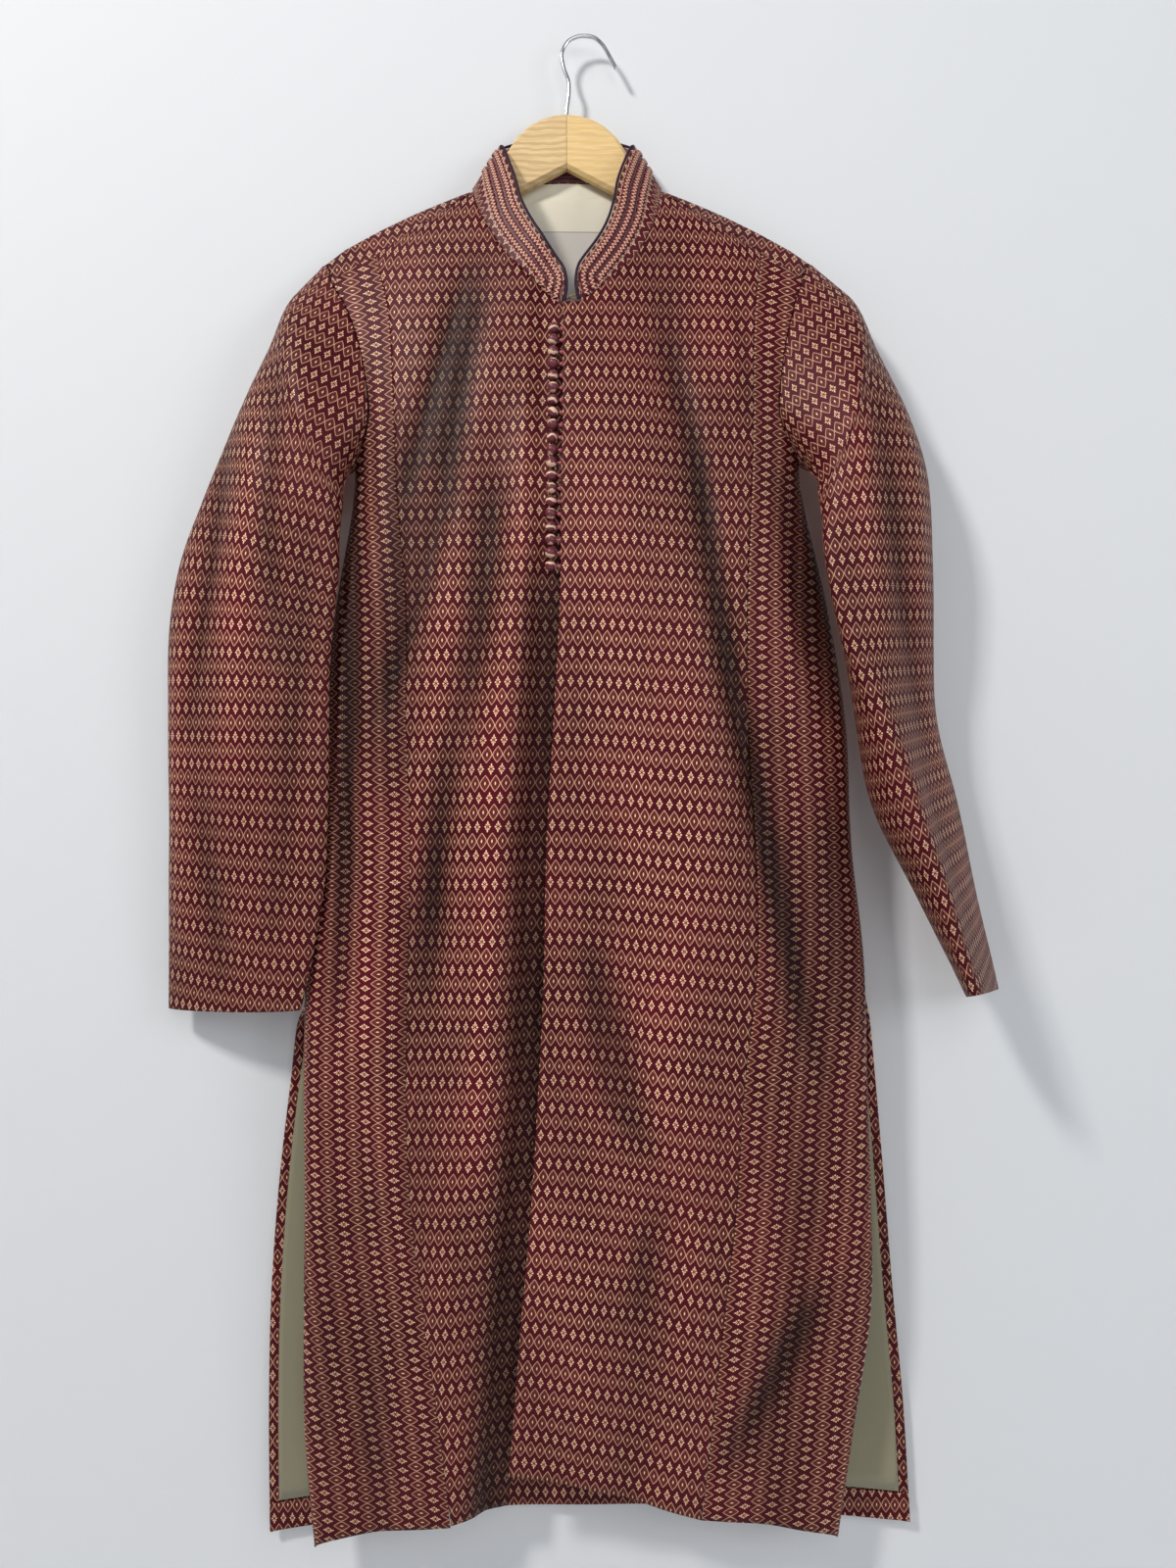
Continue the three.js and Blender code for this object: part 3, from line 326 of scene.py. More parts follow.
# z, right, seamRight, under, edge, seamLeft, left, mid, belly, side
bodyRows = np.array([
    (-200, -243, -179, 2, -18, 151, 216, -15, 82, 48),
    (-250, -226, -166, 2, -18, 144, 205, -13, 90, 50),
    (-300, -212, -161, 2, -18, 141, 193, -10, 99, 51),
    (-350, -200, -158, 1, -18, 140, 183, -8, 105, 51),
    (-400, -195, -156, 0, -19, 138, 183, -6, 108, 50),
    (-500, -210, -147, -3, -20, 133, 205, -3, 110, 48),
    (-600, -222, -146, -8, -25, 134, 221, 0, 106, 44),
    (-700, -230, -143, -16, -31, 141, 226, 0, 98, 42),
    (-800, -237, -146, -22, -33, 142, 237, 0, 90, 41),
    (-900, -239, -148, -30, -38, 132, 240, 0, 83, 42),
    (-1000, -238, -145, -42, -44, 126, 243, 0, 76, 44),
    (-1100, -239, -134, -57, -53, 116, 243, 0, 69, 43),
    (-1200, -239, -121, -72, -61, 106, 229, 0, 62, 41),
    (-1300, -231, -110, -85, -70, 95, 215, 0, 56, 39),
], float)
bodyNames = ["right", "seamRight", "under", "edge", "seamLeft", "left", "mid", "belly", "side"]
# z, right, left, off
slitRows = np.array([
    (-830, -238, 239, 40), (-860, -250, 248, 22), (-900, -257, 254, 11), (-1000, -269, 263, 8),
    (-1100, -276, 271, 8), (-1200, -278, 280, 8), (-1320, -277, 287, 8),
], float)
hem = {"right": -1303, "seamRight": -1275, "under": -1266, "edge": -1231, "seamLeft": -1270, "left": -1294,
       "backDrop": 6, "backMid": -1284}
armRows = [0, 0.021, 0.049, 0.081, 0.118, 0.151]
underarm = armRows[-1]
slitLevel = 0.5624
armholes = {
    ("front", -1): [-217, -204, -192, -184, -181], ("back", -1): [-228, -220, -212, -204, -197],
    ("front", 1): [187, 179, 171, 165, 163], ("back", 1): [200, 195, 189, 183, 179],
}
seamEnds = {-1: [(-97, -139), (-179, -199), (-217, -222)], 1: [(66, -139), (151, -195), (187, -219)]}

# Folds: a path of (x, z) points, half the width, and the depth, below 0 for a trough.
frontFolds = [
    ([(-85, -180), (-178, -640)], 20, -5), ([(-66, -330), (-140, -900)], 22, -8),
    ([(-48, -420), (-92, -1290)], 26, 5), ([(52, -180), (205, -960)], 24, -9),
    ([(110, -420), (60, -1010)], 34, 5), ([(4, -740), (62, -1010)], 18, -5),
    ([(66, -980), (30, -1300)], 20, -4), ([(-192, -880), (-172, -1420)], 22, -6),
    ([(180, -900), (150, -1420)], 26, -5),
]
backFolds = [
    ([(-90, -330), (-150, -1400)], 30, -6), ([(60, -330), (150, -1400)], 32, -7),
    ([(-10, -500), (5, -1450)], 34, -5),
]


def lerp(a, b, t):
    return a + (b - a) * t


def smooth(t):
    t = np.clip(t, 0, 1)
    return t * t * (3 - 2 * t)


def hermite(keys, values):
    # a smooth curve through the values, whose first axis goes with the keys
    keys, values = np.asarray(keys, float), np.asarray(values, float)
    wide = (...,) + (None,) * (values.ndim - 1)
    low = np.r_[0, np.arange(len(keys) - 1)]
    high = np.r_[np.arange(1, len(keys)), len(keys) - 1]
    slopes = (values[high] - values[low]) / (keys[high] - keys[low])[wide]
    order = 1 if keys[1] > keys[0] else -1

    def at(k):
        k = np.asarray(k, float)
        i = np.clip(np.searchsorted(keys * order, k * order, side="right") - 1, 0, len(keys) - 2)
        span = np.asarray(keys[i + 1] - keys[i])
        t = np.clip((k - keys[i]) / span, 0, 1)
        span, t = span[wide], np.asarray(t)[wide]
        t2, t3 = t * t, t * t * t
        return ((2 * t3 - 3 * t2 + 1) * values[i] + (t3 - 2 * t2 + t) * span * slopes[i]
                + (3 * t2 - 2 * t3) * values[i + 1] + (t3 - t2) * span * slopes[i + 1])
    return at


body = {name: hermite(bodyRows[:, 0], bodyRows[:, i + 1]) for i, name in enumerate(bodyNames)}
slit = {name: hermite(slitRows[:, 0], slitRows[:, i + 1]) for i, name in enumerate(["right", "left", "off"])}


def foldField(folds, x, z):
    total = np.zeros(np.broadcast(x, z).shape)
    for path, half, depth in folds:
        xs, zs = zip(*path)
        t = (z - zs[0]) / (zs[-1] - zs[0])
        centre = hermite(zs, xs)(z) if len(path) > 2 else lerp(xs[0], xs[-1], t)
        across = (x - centre) / half
        fade = np.sqrt(np.sin(math.pi * np.clip(t, 0, 1)).clip(0))
        total += depth * np.exp(-across * across) * fade
    return total


def ridgeZ(x):
    r = np.maximum(0, np.abs(x - coat["neckMid"]) - coat["neckHalf"])
    return coat["neckZ"] - coat["fall"] * r - coat["curve"] * r * r


def shoulderSeamZ(x):
    left, right = np.array(seamEnds[1], float), np.array(seamEnds[-1], float)
    left, right = np.interp(x, left[:, 0], left[:, 1]), np.interp(-x, -right[:, 0], right[:, 1])
    return np.where(x < coat["neckMid"], right, left)


def sideX(side, z):
    return np.where(np.asarray(side) < 0, body["right"](z), body["left"](z))


def angleAt(x, z):
    mid = body["mid"](z)
    half = np.abs(sideX(np.where(x < mid, -1, 1), z) - mid)
    return np.arcsin(np.clip((x - mid) / half, -1, 1))


# Small folds and soft waves that only the cloth's look has.
fineFront = [
    ([(-100, -215), (-128, -330), (-150, -420)], 9, -2.6),
    ([(-84, -240), (-131, -493), (-172, -604)], 11, -3.2),
    ([(-72, -400), (-84, -509), (-120, -699), (-132, -830)], 13, -4.2),
    ([(-100, -430), (-112, -560), (-150, -760)], 15, 3.0),
    ([(-46, -330), (-50, -470), (-62, -640), (-84, -860), (-96, -1010)], 14, 3.6),
    ([(66, -272), (94, -391), (113, -525), (137, -636), (161, -746), (184, -849), (206, -910)], 11, -3.8),
    ([(88, -300), (112, -430), (132, -560), (160, -700)], 11, 2.6),
    ([(122, -215), (133, -300), (134, -360)], 8, -2.0), ([(20, -300), (26, -520), (44, -760)], 30, 2.2),
    ([(2, -780), (18, -904), (50, -952)], 10, -2.4), ([(58, -1005), (50, -1050), (42, -1110)], 10, -2.2),
    ([(196, -1080), (160, -1150), (118, -1225)], 12, -2.6),
    ([(-185, -300), (-192, -560), (-200, -760), (-208, -880)], 9, -3.2),
    ([(164, -390), (172, -480), (188, -560)], 10, -3.0), ([(-30, -980), (-10, -1110), (10, -1260)], 26, 2.0),
    ([(90, -1000), (84, -1120), (70, -1280)], 22, 2.2), ([(-112, -900), (-118, -1060), (-104, -1290)], 16, 2.6),
    ([(-170, -640), (-176, -820), (-168, -1000)], 14, 2.2),
    ([(-100, -560), (-104, -700), (-112, -860)], 12, 3.0),
]


def ripple(x, z, size):
    # slow unevenness, the same on every run
    return size * (0.5 * np.sin(x / 31.0 + z / 87.0 + 0.6) * np.sin(z / 63.0 - x / 140.0 + 1.1)
                   + 0.3 * np.sin(x / 17.0 - z / 120.0 + 2.0) * np.sin(z / 39.0 + 0.4)
                   + 0.2 * np.sin(x / 9.5 + z / 48.0) * np.sin(z / 23.0 + x / 60.0))


# Where the silk turns towards the light or away from it: bright above 0, dark below.
frontLightAndShade = [
    ([(-80, -440), (-90, -600), (-100, -740)], 30, 3.2), ([(40, -620), (40, -800), (30, -1100)], 55, 2.2),
    ([(-190, -740), (-195, -900), (-185, -1200)], 25, 2.4), ([(190, -270), (188, -420), (202, -600)], 17, -6.0),
    ([(-194, -330), (-200, -600), (-208, -850)], 13, -4.5), ([(2, -780), (30, -880), (50, -970)], 16, -3.6),
    ([(200, -1060), (160, -1150), (118, -1240)], 22, -3.8),
    ([(-118, -880), (-116, -1060), (-100, -1280)], 26, -3.0), ([(-84, -200), (-128, -400)], 16, -4.0),
    ([(206, -640), (214, -860)], 18, -3.5), ([(-150, -330), (-160, -700)], 14, -3.0),
    ([(120, -200), (112, -330)], 26, 2.0), ([(-40, -200), (-50, -330)], 18, 1.5),
    ([(150, -980), (140, -1280)], 24, 2.0), ([(-210, -900), (-222, -1290)], 12, -2.4),
]


# How strongly the folds paint shade and light onto the cloth's colour, and the darkest and the brightest that it
# gets.
lightTint = {"large": 0.5, "fine": 1.3, "gain": 0.115, "uneven": 0.16, "dark": -0.78, "bright": 0.5,
        "under": 0.80, "underDark": -0.85}


# Painted light and shade on the fronts: darker in the fold troughs, lighter on the ridges, with a little random
# unevenness of tone.
def frontPaintedShading(x, z):
    field = foldField(frontFolds, x, z) * lightTint["large"] + foldField(fineFront, x, z) * lightTint["fine"]
    field += foldField(frontLightAndShade, x, z)
    return np.clip(field * lightTint["gain"] + ripple(x * 1.7, z * 0.8, lightTint["uneven"]), lightTint["dark"], lightTint["bright"])


def frontOff(angle, z, fine=True):
    mid = body["mid"](z)
    x = mid + np.sin(angle) * np.abs(sideX(np.where(angle < 0, -1, 1), z) - mid)
    around = np.cos(angle).clip(0) ** coat["bellyPower"]
    full = lerp(body["side"](z), body["belly"](z), around) + foldField(frontFolds, x, z) * around
    if fine:
        full = full + (foldField(fineFront, x, z) * 1.6 + ripple(x, z, 2.2)) * np.sqrt(around)
    below = np.maximum(0, ridgeZ(x) - z)
    rise = 1 - np.exp(-(below / coat["chestReach"]) ** coat["chestPower"])
    return x, lerp(coat["ridge"], full, rise)


def frontPoint(angle, z, fine=True):
    x, off = frontOff(angle, z, fine)
    return np.stack([x, coat["wall"] - off, z + 0 * x], -1)


def backPoint(share, side, z):
    mid = body["mid"](z)
    above = z > coat["slitZ"]
    reach = np.abs(np.where(above, sideX(side, z), np.where(side < 0, slit["right"](z), slit["left"](z))) - mid)
    edge = np.where(above, np.abs(panelEdge(side, "back", z) - mid), reach)
    angle = side * np.arcsin(np.clip(share * edge / reach, 0, 1))
    x = mid + np.sin(angle) * reach
    sideOff = frontOff(side * math.pi / 2 + 0 * z, z, False)[1]
    slitOff = frontOff(side * math.pi / 2 + 0 * z, coat["slitZ"] + 0 * z, False)[1]
    edgeOff = np.where(above, sideOff, np.minimum(slit["off"](z), slitOff))
    around = np.sqrt(np.cos(angle).clip(0))
    turn = smooth((ridgeZ(x) - z) / coat["backTurn"])
    off = lerp(coat["backFlat"], lerp(edgeOff, coat["backFlat"], around), turn)
    off = off - foldField(backFolds, x, z) * around + np.abs(ripple(x * 1.3, z, 2.2)) * around
    return np.stack([x, coat["wall"] - off, z + 0 * x], -1)


def levelZ(side, key, level):
    top = seamEnds[side][2 if key == "side" else 1][1]
    ends = {"side": ("right", "left"), "princess": ("seamRight", "seamLeft")}[key]
    return lerp(top, hem[ends[0 if side < 0 else 1]], level)


def panelEdge(side, which, z):
    side = np.broadcast_to(side, np.shape(z))
    result = np.zeros(np.shape(z))
    for s in (-1, 1):
        zs = [levelZ(s, "side", level) for level in armRows]
        xs = armholes[which, s] + [float(sideX(s, zs[-1]))]
        arm = hermite(zs, xs)(z)
        here = np.where(z < zs[-1], sideX(s, z), arm)
        result = np.where(side == s, here, result)
    return result


print("surfaces ready")

# ---- turning grids of points into cloth with two faces and a rim ----
satinInside = makeLining("insideSatin", (0.20, 0.045, 0.06, 1))


def refine(grid, rows, cols, ring=False):
    # the same surface with more points: a smooth curve through every row and column
    def along(points, count, closed):
        n = len(points)
        at = np.linspace(0, n if closed else n - 1, count, endpoint=not closed)
        i = np.minimum(at.astype(int), n - 1 if closed else n - 2)
        t = (at - i).reshape(-1, *([1] * (points.ndim - 1)))

        def pick(k):
            return points[k % n] if closed else points[np.clip(k, 0, n - 1)]
        p0, p1, p2, p3 = pick(i - 1), pick(i), pick(i + 1), pick(i + 2)
        return 0.5 * (2 * p1 + (p2 - p0) * t + (2 * p0 - 5 * p1 + 4 * p2 - p3) * t ** 2
                      + (3 * p1 - p0 - 3 * p2 + p3) * t ** 3)
    grid = along(grid, rows, False)
    return np.swapaxes(along(np.swapaxes(grid, 0, 1), cols, ring), 0, 1)


def normals(grid, sign=1, ring=False):
    down = np.gradient(grid, axis=0)
    across = (np.roll(grid, -1, 1) - np.roll(grid, 1, 1)) if ring else np.gradient(grid, axis=1)
    n = np.cross(down, across) * sign
    return n / np.maximum(np.linalg.norm(n, axis=2, keepdims=True), 1e-9)


def arcs(grid, axis):
    steps = np.linalg.norm(np.diff(grid, axis=axis), axis=2)
    zero = np.zeros_like(np.take(steps, [0], axis))
    return np.concatenate([zero, np.cumsum(steps, axis)], axis)


def widths(grid):
    # distances along each row without its rise and fall, so that the pattern's columns hang straight
    return arcs(grid * np.array([1, 1, 0]), 1)


def cutSize(across, long):
    # the greatest width and length of a cut piece in metres, and its area by their means
    return (across.max() / 1000, long.max() / 1000), across.mean() * long.mean() / 1e6


def arcWrap(grid):
    closed = np.concatenate([grid, grid[:, :1]], 1)
    return np.linalg.norm(np.diff(closed, axis=1), axis=2).sum(1)


def claim(obj, nodes):
    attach(obj, "root")
    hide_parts(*nodes)
    return obj


def clothPiece(name, grid, uv, thick, sign, node, outside, inside, slotName, ring=False, tone=None):
    n = normals(grid, sign, ring)
    rows, cols = grid.shape[:2]
    points = np.concatenate([grid.reshape(-1, 3), (grid - n * thick).reshape(-1, 3)]) * mm
    i, j = np.meshgrid(np.arange(rows - 1), np.arange(cols if ring else cols - 1), indexing="ij")
    i, j = i.ravel(), j.ravel()
    k = (j + 1) % cols
    outer = np.stack([i * cols + j, (i + 1) * cols + j, (i + 1) * cols + k, i * cols + k], 1)
    layer = rows * cols
    inner = outer[:, ::-1] + layer
    around = np.arange(cols if ring else cols - 1)
    beside = (around + 1) % cols
    last = (rows - 1) * cols
    top = np.stack([around, beside, beside + layer, around + layer], 1)
    low = np.stack([last + around, last + around + layer, last + beside + layer, last + beside], 1)
    sides = []
    if not ring:
        a = np.arange(rows - 1) * cols
        b = a + cols
        sides.append(np.stack([a, a + layer, b + layer, b], 1))
        a, b = a + cols - 1, b + cols - 1
        sides.append(np.stack([a, b, b + layer, a + layer], 1))
    faces = np.concatenate([outer, inner, top, low] + sides)
    if sign < 0:
        faces = faces[:, ::-1]
    kinds = np.zeros(len(faces), int)
    kinds[len(outer):2 * len(outer)] = 1
    mesh = bpy.data.meshes.new(name)
    mesh.from_pydata(points.tolist(), [], faces.tolist())
    for material in (outside, inside):
        mesh.materials.append(material)
    mesh.polygons.foreach_set("material_index", kinds)
    mesh.polygons.foreach_set("use_smooth", np.ones(len(faces), bool))
    flat = np.concatenate([uv.reshape(-1, 2)] * 2) * mm
    corner = np.empty(len(mesh.loops), np.int32)
    mesh.loops.foreach_get("vertex_index", corner)
    values = flat[corner]
    if ring:
        # the last column joins the first, one turn further along the cloth
        wraps = np.repeat((faces % cols == 0).any(1) & (faces % cols == cols - 1).any(1), 4)
        small = wraps & (corner % cols == 0)
        turn = arcWrap(grid)[(corner % layer) // cols] * mm
        values[small, 0] += turn[small] * (1 if uv[0, -1, 0] > 0 else -1)
    # tone carries painted light and shade per point; pieces without it get none.
    shade = np.zeros(layer) if tone is None else tone.ravel()
    mesh.attributes.new("tone", "FLOAT", "POINT").data.foreach_set("value", np.tile(shade, 2).astype(np.float32))
    mesh.uv_layers.new(name="cloth").data.foreach_set("uv", values.astype(np.float32).ravel())
    mesh.update()
    return claim(linked(name, mesh), [node])


# ---- the fronts ----
def sideFrontGrid(side, rows, cols, fine, rise=-0.35):
    level = np.asarray(rows, float)[:, None]
    t = np.asarray(cols, float)[None, :]
    zOut, zIn = levelZ(side, "side", level), levelZ(side, "princess", level)
    seam = body["seamRight" if side < 0 else "seamLeft"]
    outAngle = angleAt(panelEdge(side, "front", zOut), zOut)
    inAngle = angleAt(seam(zIn), zIn)
    angle = lerp(inAngle + side * 0.0012, outAngle - side * 0.003, t)
    return frontPoint(angle, lerp(zIn, zOut, t) + rise, fine)


levelsFine = np.linspace(0, 1, 200)
collarFront = np.array([(8.5, -249), (22.5, -237), (38.5, -221), (55, -204), (70, -177),
                        (77.5, -156), (81.5, -138.5)], float)


def neckCentre(z):
    return coat["neckMid"] + coat["neckSwing"] * smooth((-140 - z) / 60)


def sunk(x, z):
    start, end = coat["recessFrom"], coat["recessTo"]
    return coat["recess"] * smooth((x - body["edge"](z) + start) / (start - end))


def centreFrontGrid(side, rows, perSpan, fine=True):
    edge = body["edge"] if side > 0 else lambda z: np.maximum(body["under"](z), body["edge"](z) + 2)
    neck, princess, _ = [np.array(p, float) for p in seamEnds[side]]
    tops = [lerp(princess, neck, t) for t in (0, 0.34, 0.68)]
    tops += [np.array([neckCentre(z) + side * x, z]) for x, z in collarFront[::-1]]
    tops.append(np.array([float(edge(-249.0)), -249.0]))
    tops = np.array(tops)
    index = np.linspace(0, len(tops) - 1, perSpan)
    topX = np.interp(index, np.arange(len(tops)), tops[:, 0])[None, :]
    topZ = np.interp(index, np.arange(len(tops)), tops[:, 1])[None, :]
    t = (topX - tops[0, 0]) / (tops[-1, 0] - tops[0, 0])
    if side < 0:
        end = lerp(hem["seamRight"], hem["under"], t)
    else:
        end = lerp(hem["edge"], hem["seamLeft"], (1 - t) ** 1.4)
    level = np.asarray(rows, float)[:, None]
    z = lerp(topZ, end, level) - 0.35
    seam = body["seamRight" if side < 0 else "seamLeft"]
    atTop = topX - lerp(seam(topZ), edge(topZ), t)
    x = lerp(seam(z), edge(z), t) + atTop * np.maximum(0, 1 - level / underarm)
    angle = angleAt(x, z)
    angle[:, 0] -= side * 0.0012
    grid = frontPoint(angle, z, fine)
    if side < 0:
        near = smooth((x - body["edge"](z) + 62) / 52) * smooth((-400 - z) / 160)
        grid[..., 1] += sunk(x, z) + 10 * near
    return grid, end


for side, label in ((-1, "right"), (1, "left")):
    grid, end = centreFrontGrid(side, levelsFine, 90)
    across = widths(grid)
    u = across[:, -1:] - across
    v = grid[..., 2] - (end - end[:, -1:]) * levelsFine[:, None] ** 1.3
    x, z = grid[..., 0], grid[..., 2]
    # tone: painted light and shade that the brocade multiplies into its colour
    tone = frontPaintedShading(x, z)
    if side < 0:
        # the left front's shade on the part that lies under it
        under = smooth((x - body["edge"](z) + 50) / 34) * smooth((-420 - z) / 100)
        tone = np.clip(tone - lightTint["under"] * under, lightTint["underDark"], lightTint["bright"])
    piece = clothPiece("front" + label.title(), grid, np.stack([u * side, v], -1), coat["cloth"], -side,
                       "front_" + label, brocade, satinInside, "brocade", tone=tone)
    cut, area = cutSize(arcs(grid, 1)[:, -1], arcs(grid, 0)[-1])
    grid = sideFrontGrid(side, levelsFine, np.linspace(0, 1, 34), True)
    u = widths(grid)
    piece = clothPiece("sideFront" + label.title(), grid, np.stack([grid[..., 2], u * side], -1), coat["cloth"], side,
                       "side_front_" + label, brocade, satinInside, "brocade",
                       tone=frontPaintedShading(grid[..., 0], grid[..., 2]))
    cut, area = cutSize(u[:, -1], arcs(grid, 0)[-1])
print("fronts made")

# ---- the back, its lining and hem ----
ridgePath = [(2.2, 23), (0, 17), (1.8, 10.5), (8, 5.5)]
neckPath = [(1.2, 5), (2.4, 5), (4, 5), (13, 5)]
armPathX = [6, 12, 12, 11.5]
neckSpots = np.array([(78, -127.5), (42, -123), (0, -121)], float)
levels = np.array(armRows + [0.192, 0.25, 0.32, 0.4, 0.48, 0.5624, 0.592, 0.64, 0.72, 0.81, 0.905, 1])


def backColumn(side, x, share, seamSpot):
    atArm = share == 1
    out = abs(x - coat["neckMid"])
    over = out >= coat["neckHalf"]
    ridgeAt = coat["neckMid"] + side * (coat["shoulderEnd"] + (1 if side < 0 else 0)) if atArm else x
    crest = float(ridgeZ(ridgeAt)) if over else float(np.interp(out, neckSpots[::-1, 0], neckSpots[::-1, 1])) - 0.35
    rows = [seamSpot if over else np.array([x, coat["wall"] - 5, crest])]
    path = ridgePath if over else neckPath
    for k, (below, off) in enumerate(path):
        rows.append(np.array([x + side * armPathX[k] if atArm else x, coat["wall"] - off, crest - below]))
    sideTop = seamEnds[side][2][1]
    top = sideTop if atArm else min(rows[-1][2] - 8, lerp(crest - 20, sideTop, share * share))
    bottom = lerp(hem["backMid"], hem["right"] if side < 0 else hem["left"], share * share)
    drop = hem["backDrop"] * share * ((levels - slitLevel).clip(0) / (1 - slitLevel)) ** 2
    points = backPoint(share, side + 0 * levels, lerp(top, bottom, levels) - drop)
    if atArm:
        points[:, 1] += 0.35
    return np.array(rows + list(points))


def backHalf(side):
    neck, princess, arm = [np.array(p, float) for p in seamEnds[side]]
    seam = sideFrontGrid(side, [0.0], [0, 0.25, 0.5, 0.75, 1], False, rise=0.175)[0][::-1]
    xs = list(seam[:, 0]) + [lerp(princess[0], neck[0], 0.34), lerp(princess[0], neck[0], 0.68), neck[0]]
    spots = list(seam)
    for x in xs[5:]:
        z = float(shoulderSeamZ(x)) + 0.175
        spots.append(frontPoint(angleAt(x, z), z, False))
    xs += [coat["neckMid"] + side * 78, coat["neckMid"] + side * 42]
    spots += [None, None]
    return [backColumn(side, x, 1 if i == 0 else (x - coat["neckMid"]) / (arm[0] - coat["neckMid"]), spots[i])
            for i, x in enumerate(xs)]


columns = backHalf(-1) + [backColumn(1, coat["neckMid"], 0, None)] + backHalf(1)[::-1]
backGrid = np.stack(columns, 1)

def spreadColumns(grid, count):
    # even columns, through the uneven ones that the seams fix
    keys = grid[..., 0].mean(axis=0)
    return hermite(keys, np.swapaxes(grid, 0, 1))(np.linspace(keys[0], keys[-1], count)).swapaxes(0, 1)


def rowsAt(grid, at):
    # rows of the grid at places that needn't be whole
    low = at.astype(int)
    return grid[low] + (grid[low + 1] - grid[low]) * (at - low)[:, None, None]


backShape = {"rows": 200, "cols": 121, "middle": 60, "liningIn": 2.9, "facingIn": 2.1,
             "facing": (0.765, 0.88, 0.995)}
fineBack = spreadColumns(refine(backGrid, backShape["rows"], backGrid.shape[1]), backShape["cols"])
across = widths(fineBack)
uvBack = np.stack([across - across[:, [backShape["middle"]]], fineBack[..., 2]], -1)
x, z = fineBack[..., 0], fineBack[..., 2]
# Painted shade in the back's fold troughs, with a little random unevenness of tone.
backPaintedShading = np.clip(foldField(backFolds, x, z) * 0.05 + ripple(x, z, 0.2), -0.5, 0.3)
back = clothPiece("backPanel", fineBack, uvBack, coat["cloth"], -1, "back", brocade, brocade, "brocade",
                  tone=backPaintedShading)
cut, area = cutSize(across[:, -1], arcs(fineBack, 0)[-1])

# the lining is a smaller copy of the back, inside it
liningGrid = rowsAt(fineBack - normals(fineBack, -1) * backShape["liningIn"], np.linspace(18, 196, 150))
liningGrid = rowsAt(liningGrid.swapaxes(0, 1), np.linspace(2.3, 117.7, 110)).swapaxes(0, 1)
across = arcs(liningGrid, 1)
uvLining = np.stack([across, liningGrid[..., 2]], -1)
liningPiece = clothPiece("backLining", liningGrid, uvLining, 0.9, -1, "back_lining", lining, lining, "lining")
cut, area = cutSize(across[:, -1], arcs(liningGrid, 0)[-1])
facingGrid = np.stack([lerp(backGrid[-2], backGrid[-1], t) for t in backShape["facing"]])
facingGrid = spreadColumns(refine(facingGrid, 12, backGrid.shape[1]), backShape["cols"])
facingGrid = facingGrid - normals(facingGrid, -1) * backShape["facingIn"]
across = arcs(facingGrid, 1)
uvFacing = np.stack([across, facingGrid[..., 2] + 9], -1)
facing = clothPiece("hemFacing", facingGrid, uvFacing, 0.8, -1, "back_hem_facing", brocade, brocade, "brocade")
cutSize(across[:, -1], arcs(facingGrid, 0)[-1])[0]
print("back made")

# ---- sleeves ----
# outer fold x, z, off the wall; inner fold x, z, off the wall; how far it stands out in front and behind
sleeveRows = {
    -1: [(-250, -231, 22, -201, -404, 72, 34, 18), (-275, -283, 24, -202, -421, 72, 32, 17),
         (-300, -338, 25, -204, -446, 75, 28, 16), (-326, -398, 25, -204, -478, 75, 25, 14),
         (-347, -450, 24, -207, -512, 75, 22, 13), (-358, -505, 23, -210, -550, 75, 20, 12),
         (-360, -580, 22, -211, -605, 74, 20, 11), (-361, -665, 21, -213, -672, 72, 19, 10),
         (-361, -755, 20, -219, -757, 67, 17, 9), (-362, -846, 20, -238, -841, 58, 14, 8)],
    1: [(226, -232, 24, 192, -404, 84, 34, 18), (250, -282, 30, 191, -418, 88, 32, 17),
        (272, -330, 34, 192, -438, 96, 28, 16), (290, -385, 34, 192, -464, 101, 24, 17),
        (296, -460, 30, 198, -500, 106, 20, 20), (297, -540, 27, 212, -548, 110, 14, 28),
        (300, -600, 24, 231, -600, 114, 10, 38), (316, -665, 22, 250, -662, 117, 8, 43),
        (336, -745, 18, 279, -737, 119, 7, 30), (358, -831, 15, 307, -818, 119, 7, 14)],
}
sleeveFolds = [
    ([(-305, -330), (-312, -430), (-340, -620)], 9, -4.0),
    ([(-282, -300), (-278, -390), (-292, -520), (-296, -660)], 13, 3.6),
    ([(-330, -420), (-352, -640), (-345, -800)], 12, 2.6),
    ([(-256, -300), (-262, -420), (-250, -560)], 10, -3.2),
    ([(-330, -640), (-320, -720), (-306, -830)], 12, -3.0),
    ([(-226, -420), (-240, -600), (-262, -800)], 12, -2.6),
    ([(240, -330), (252, -430), (268, -540), (282, -640)], 10, -4.0),
    ([(262, -320), (276, -420), (282, -520)], 10, 3.4), ([(220, -330), (224, -430), (240, -560)], 9, 2.4),
    ([(285, -560), (306, -680), (332, -800)], 9, 2.6), ([(268, -620), (290, -700), (318, -800)], 7, -2.4),
]
capAngles = np.array([0, 10, 25, 50, 80, 110, 145, 180, 215, 245, 275, 300, 325, 340, 350], float)
evenAngles = np.array([j * 180 / 7 if j <= 7 else 180 + (j - 7) * 180 / 8 for j in range(15)])
# "held" is the column down the outside that carries the weave; "shift" keeps u above 0.
sleeveShape = {"rows": 170, "cols": 90, "fadeIn": 30.0, "fadeOut": 14.0, "held": 22, "evenOut": 25, "shift": 600}


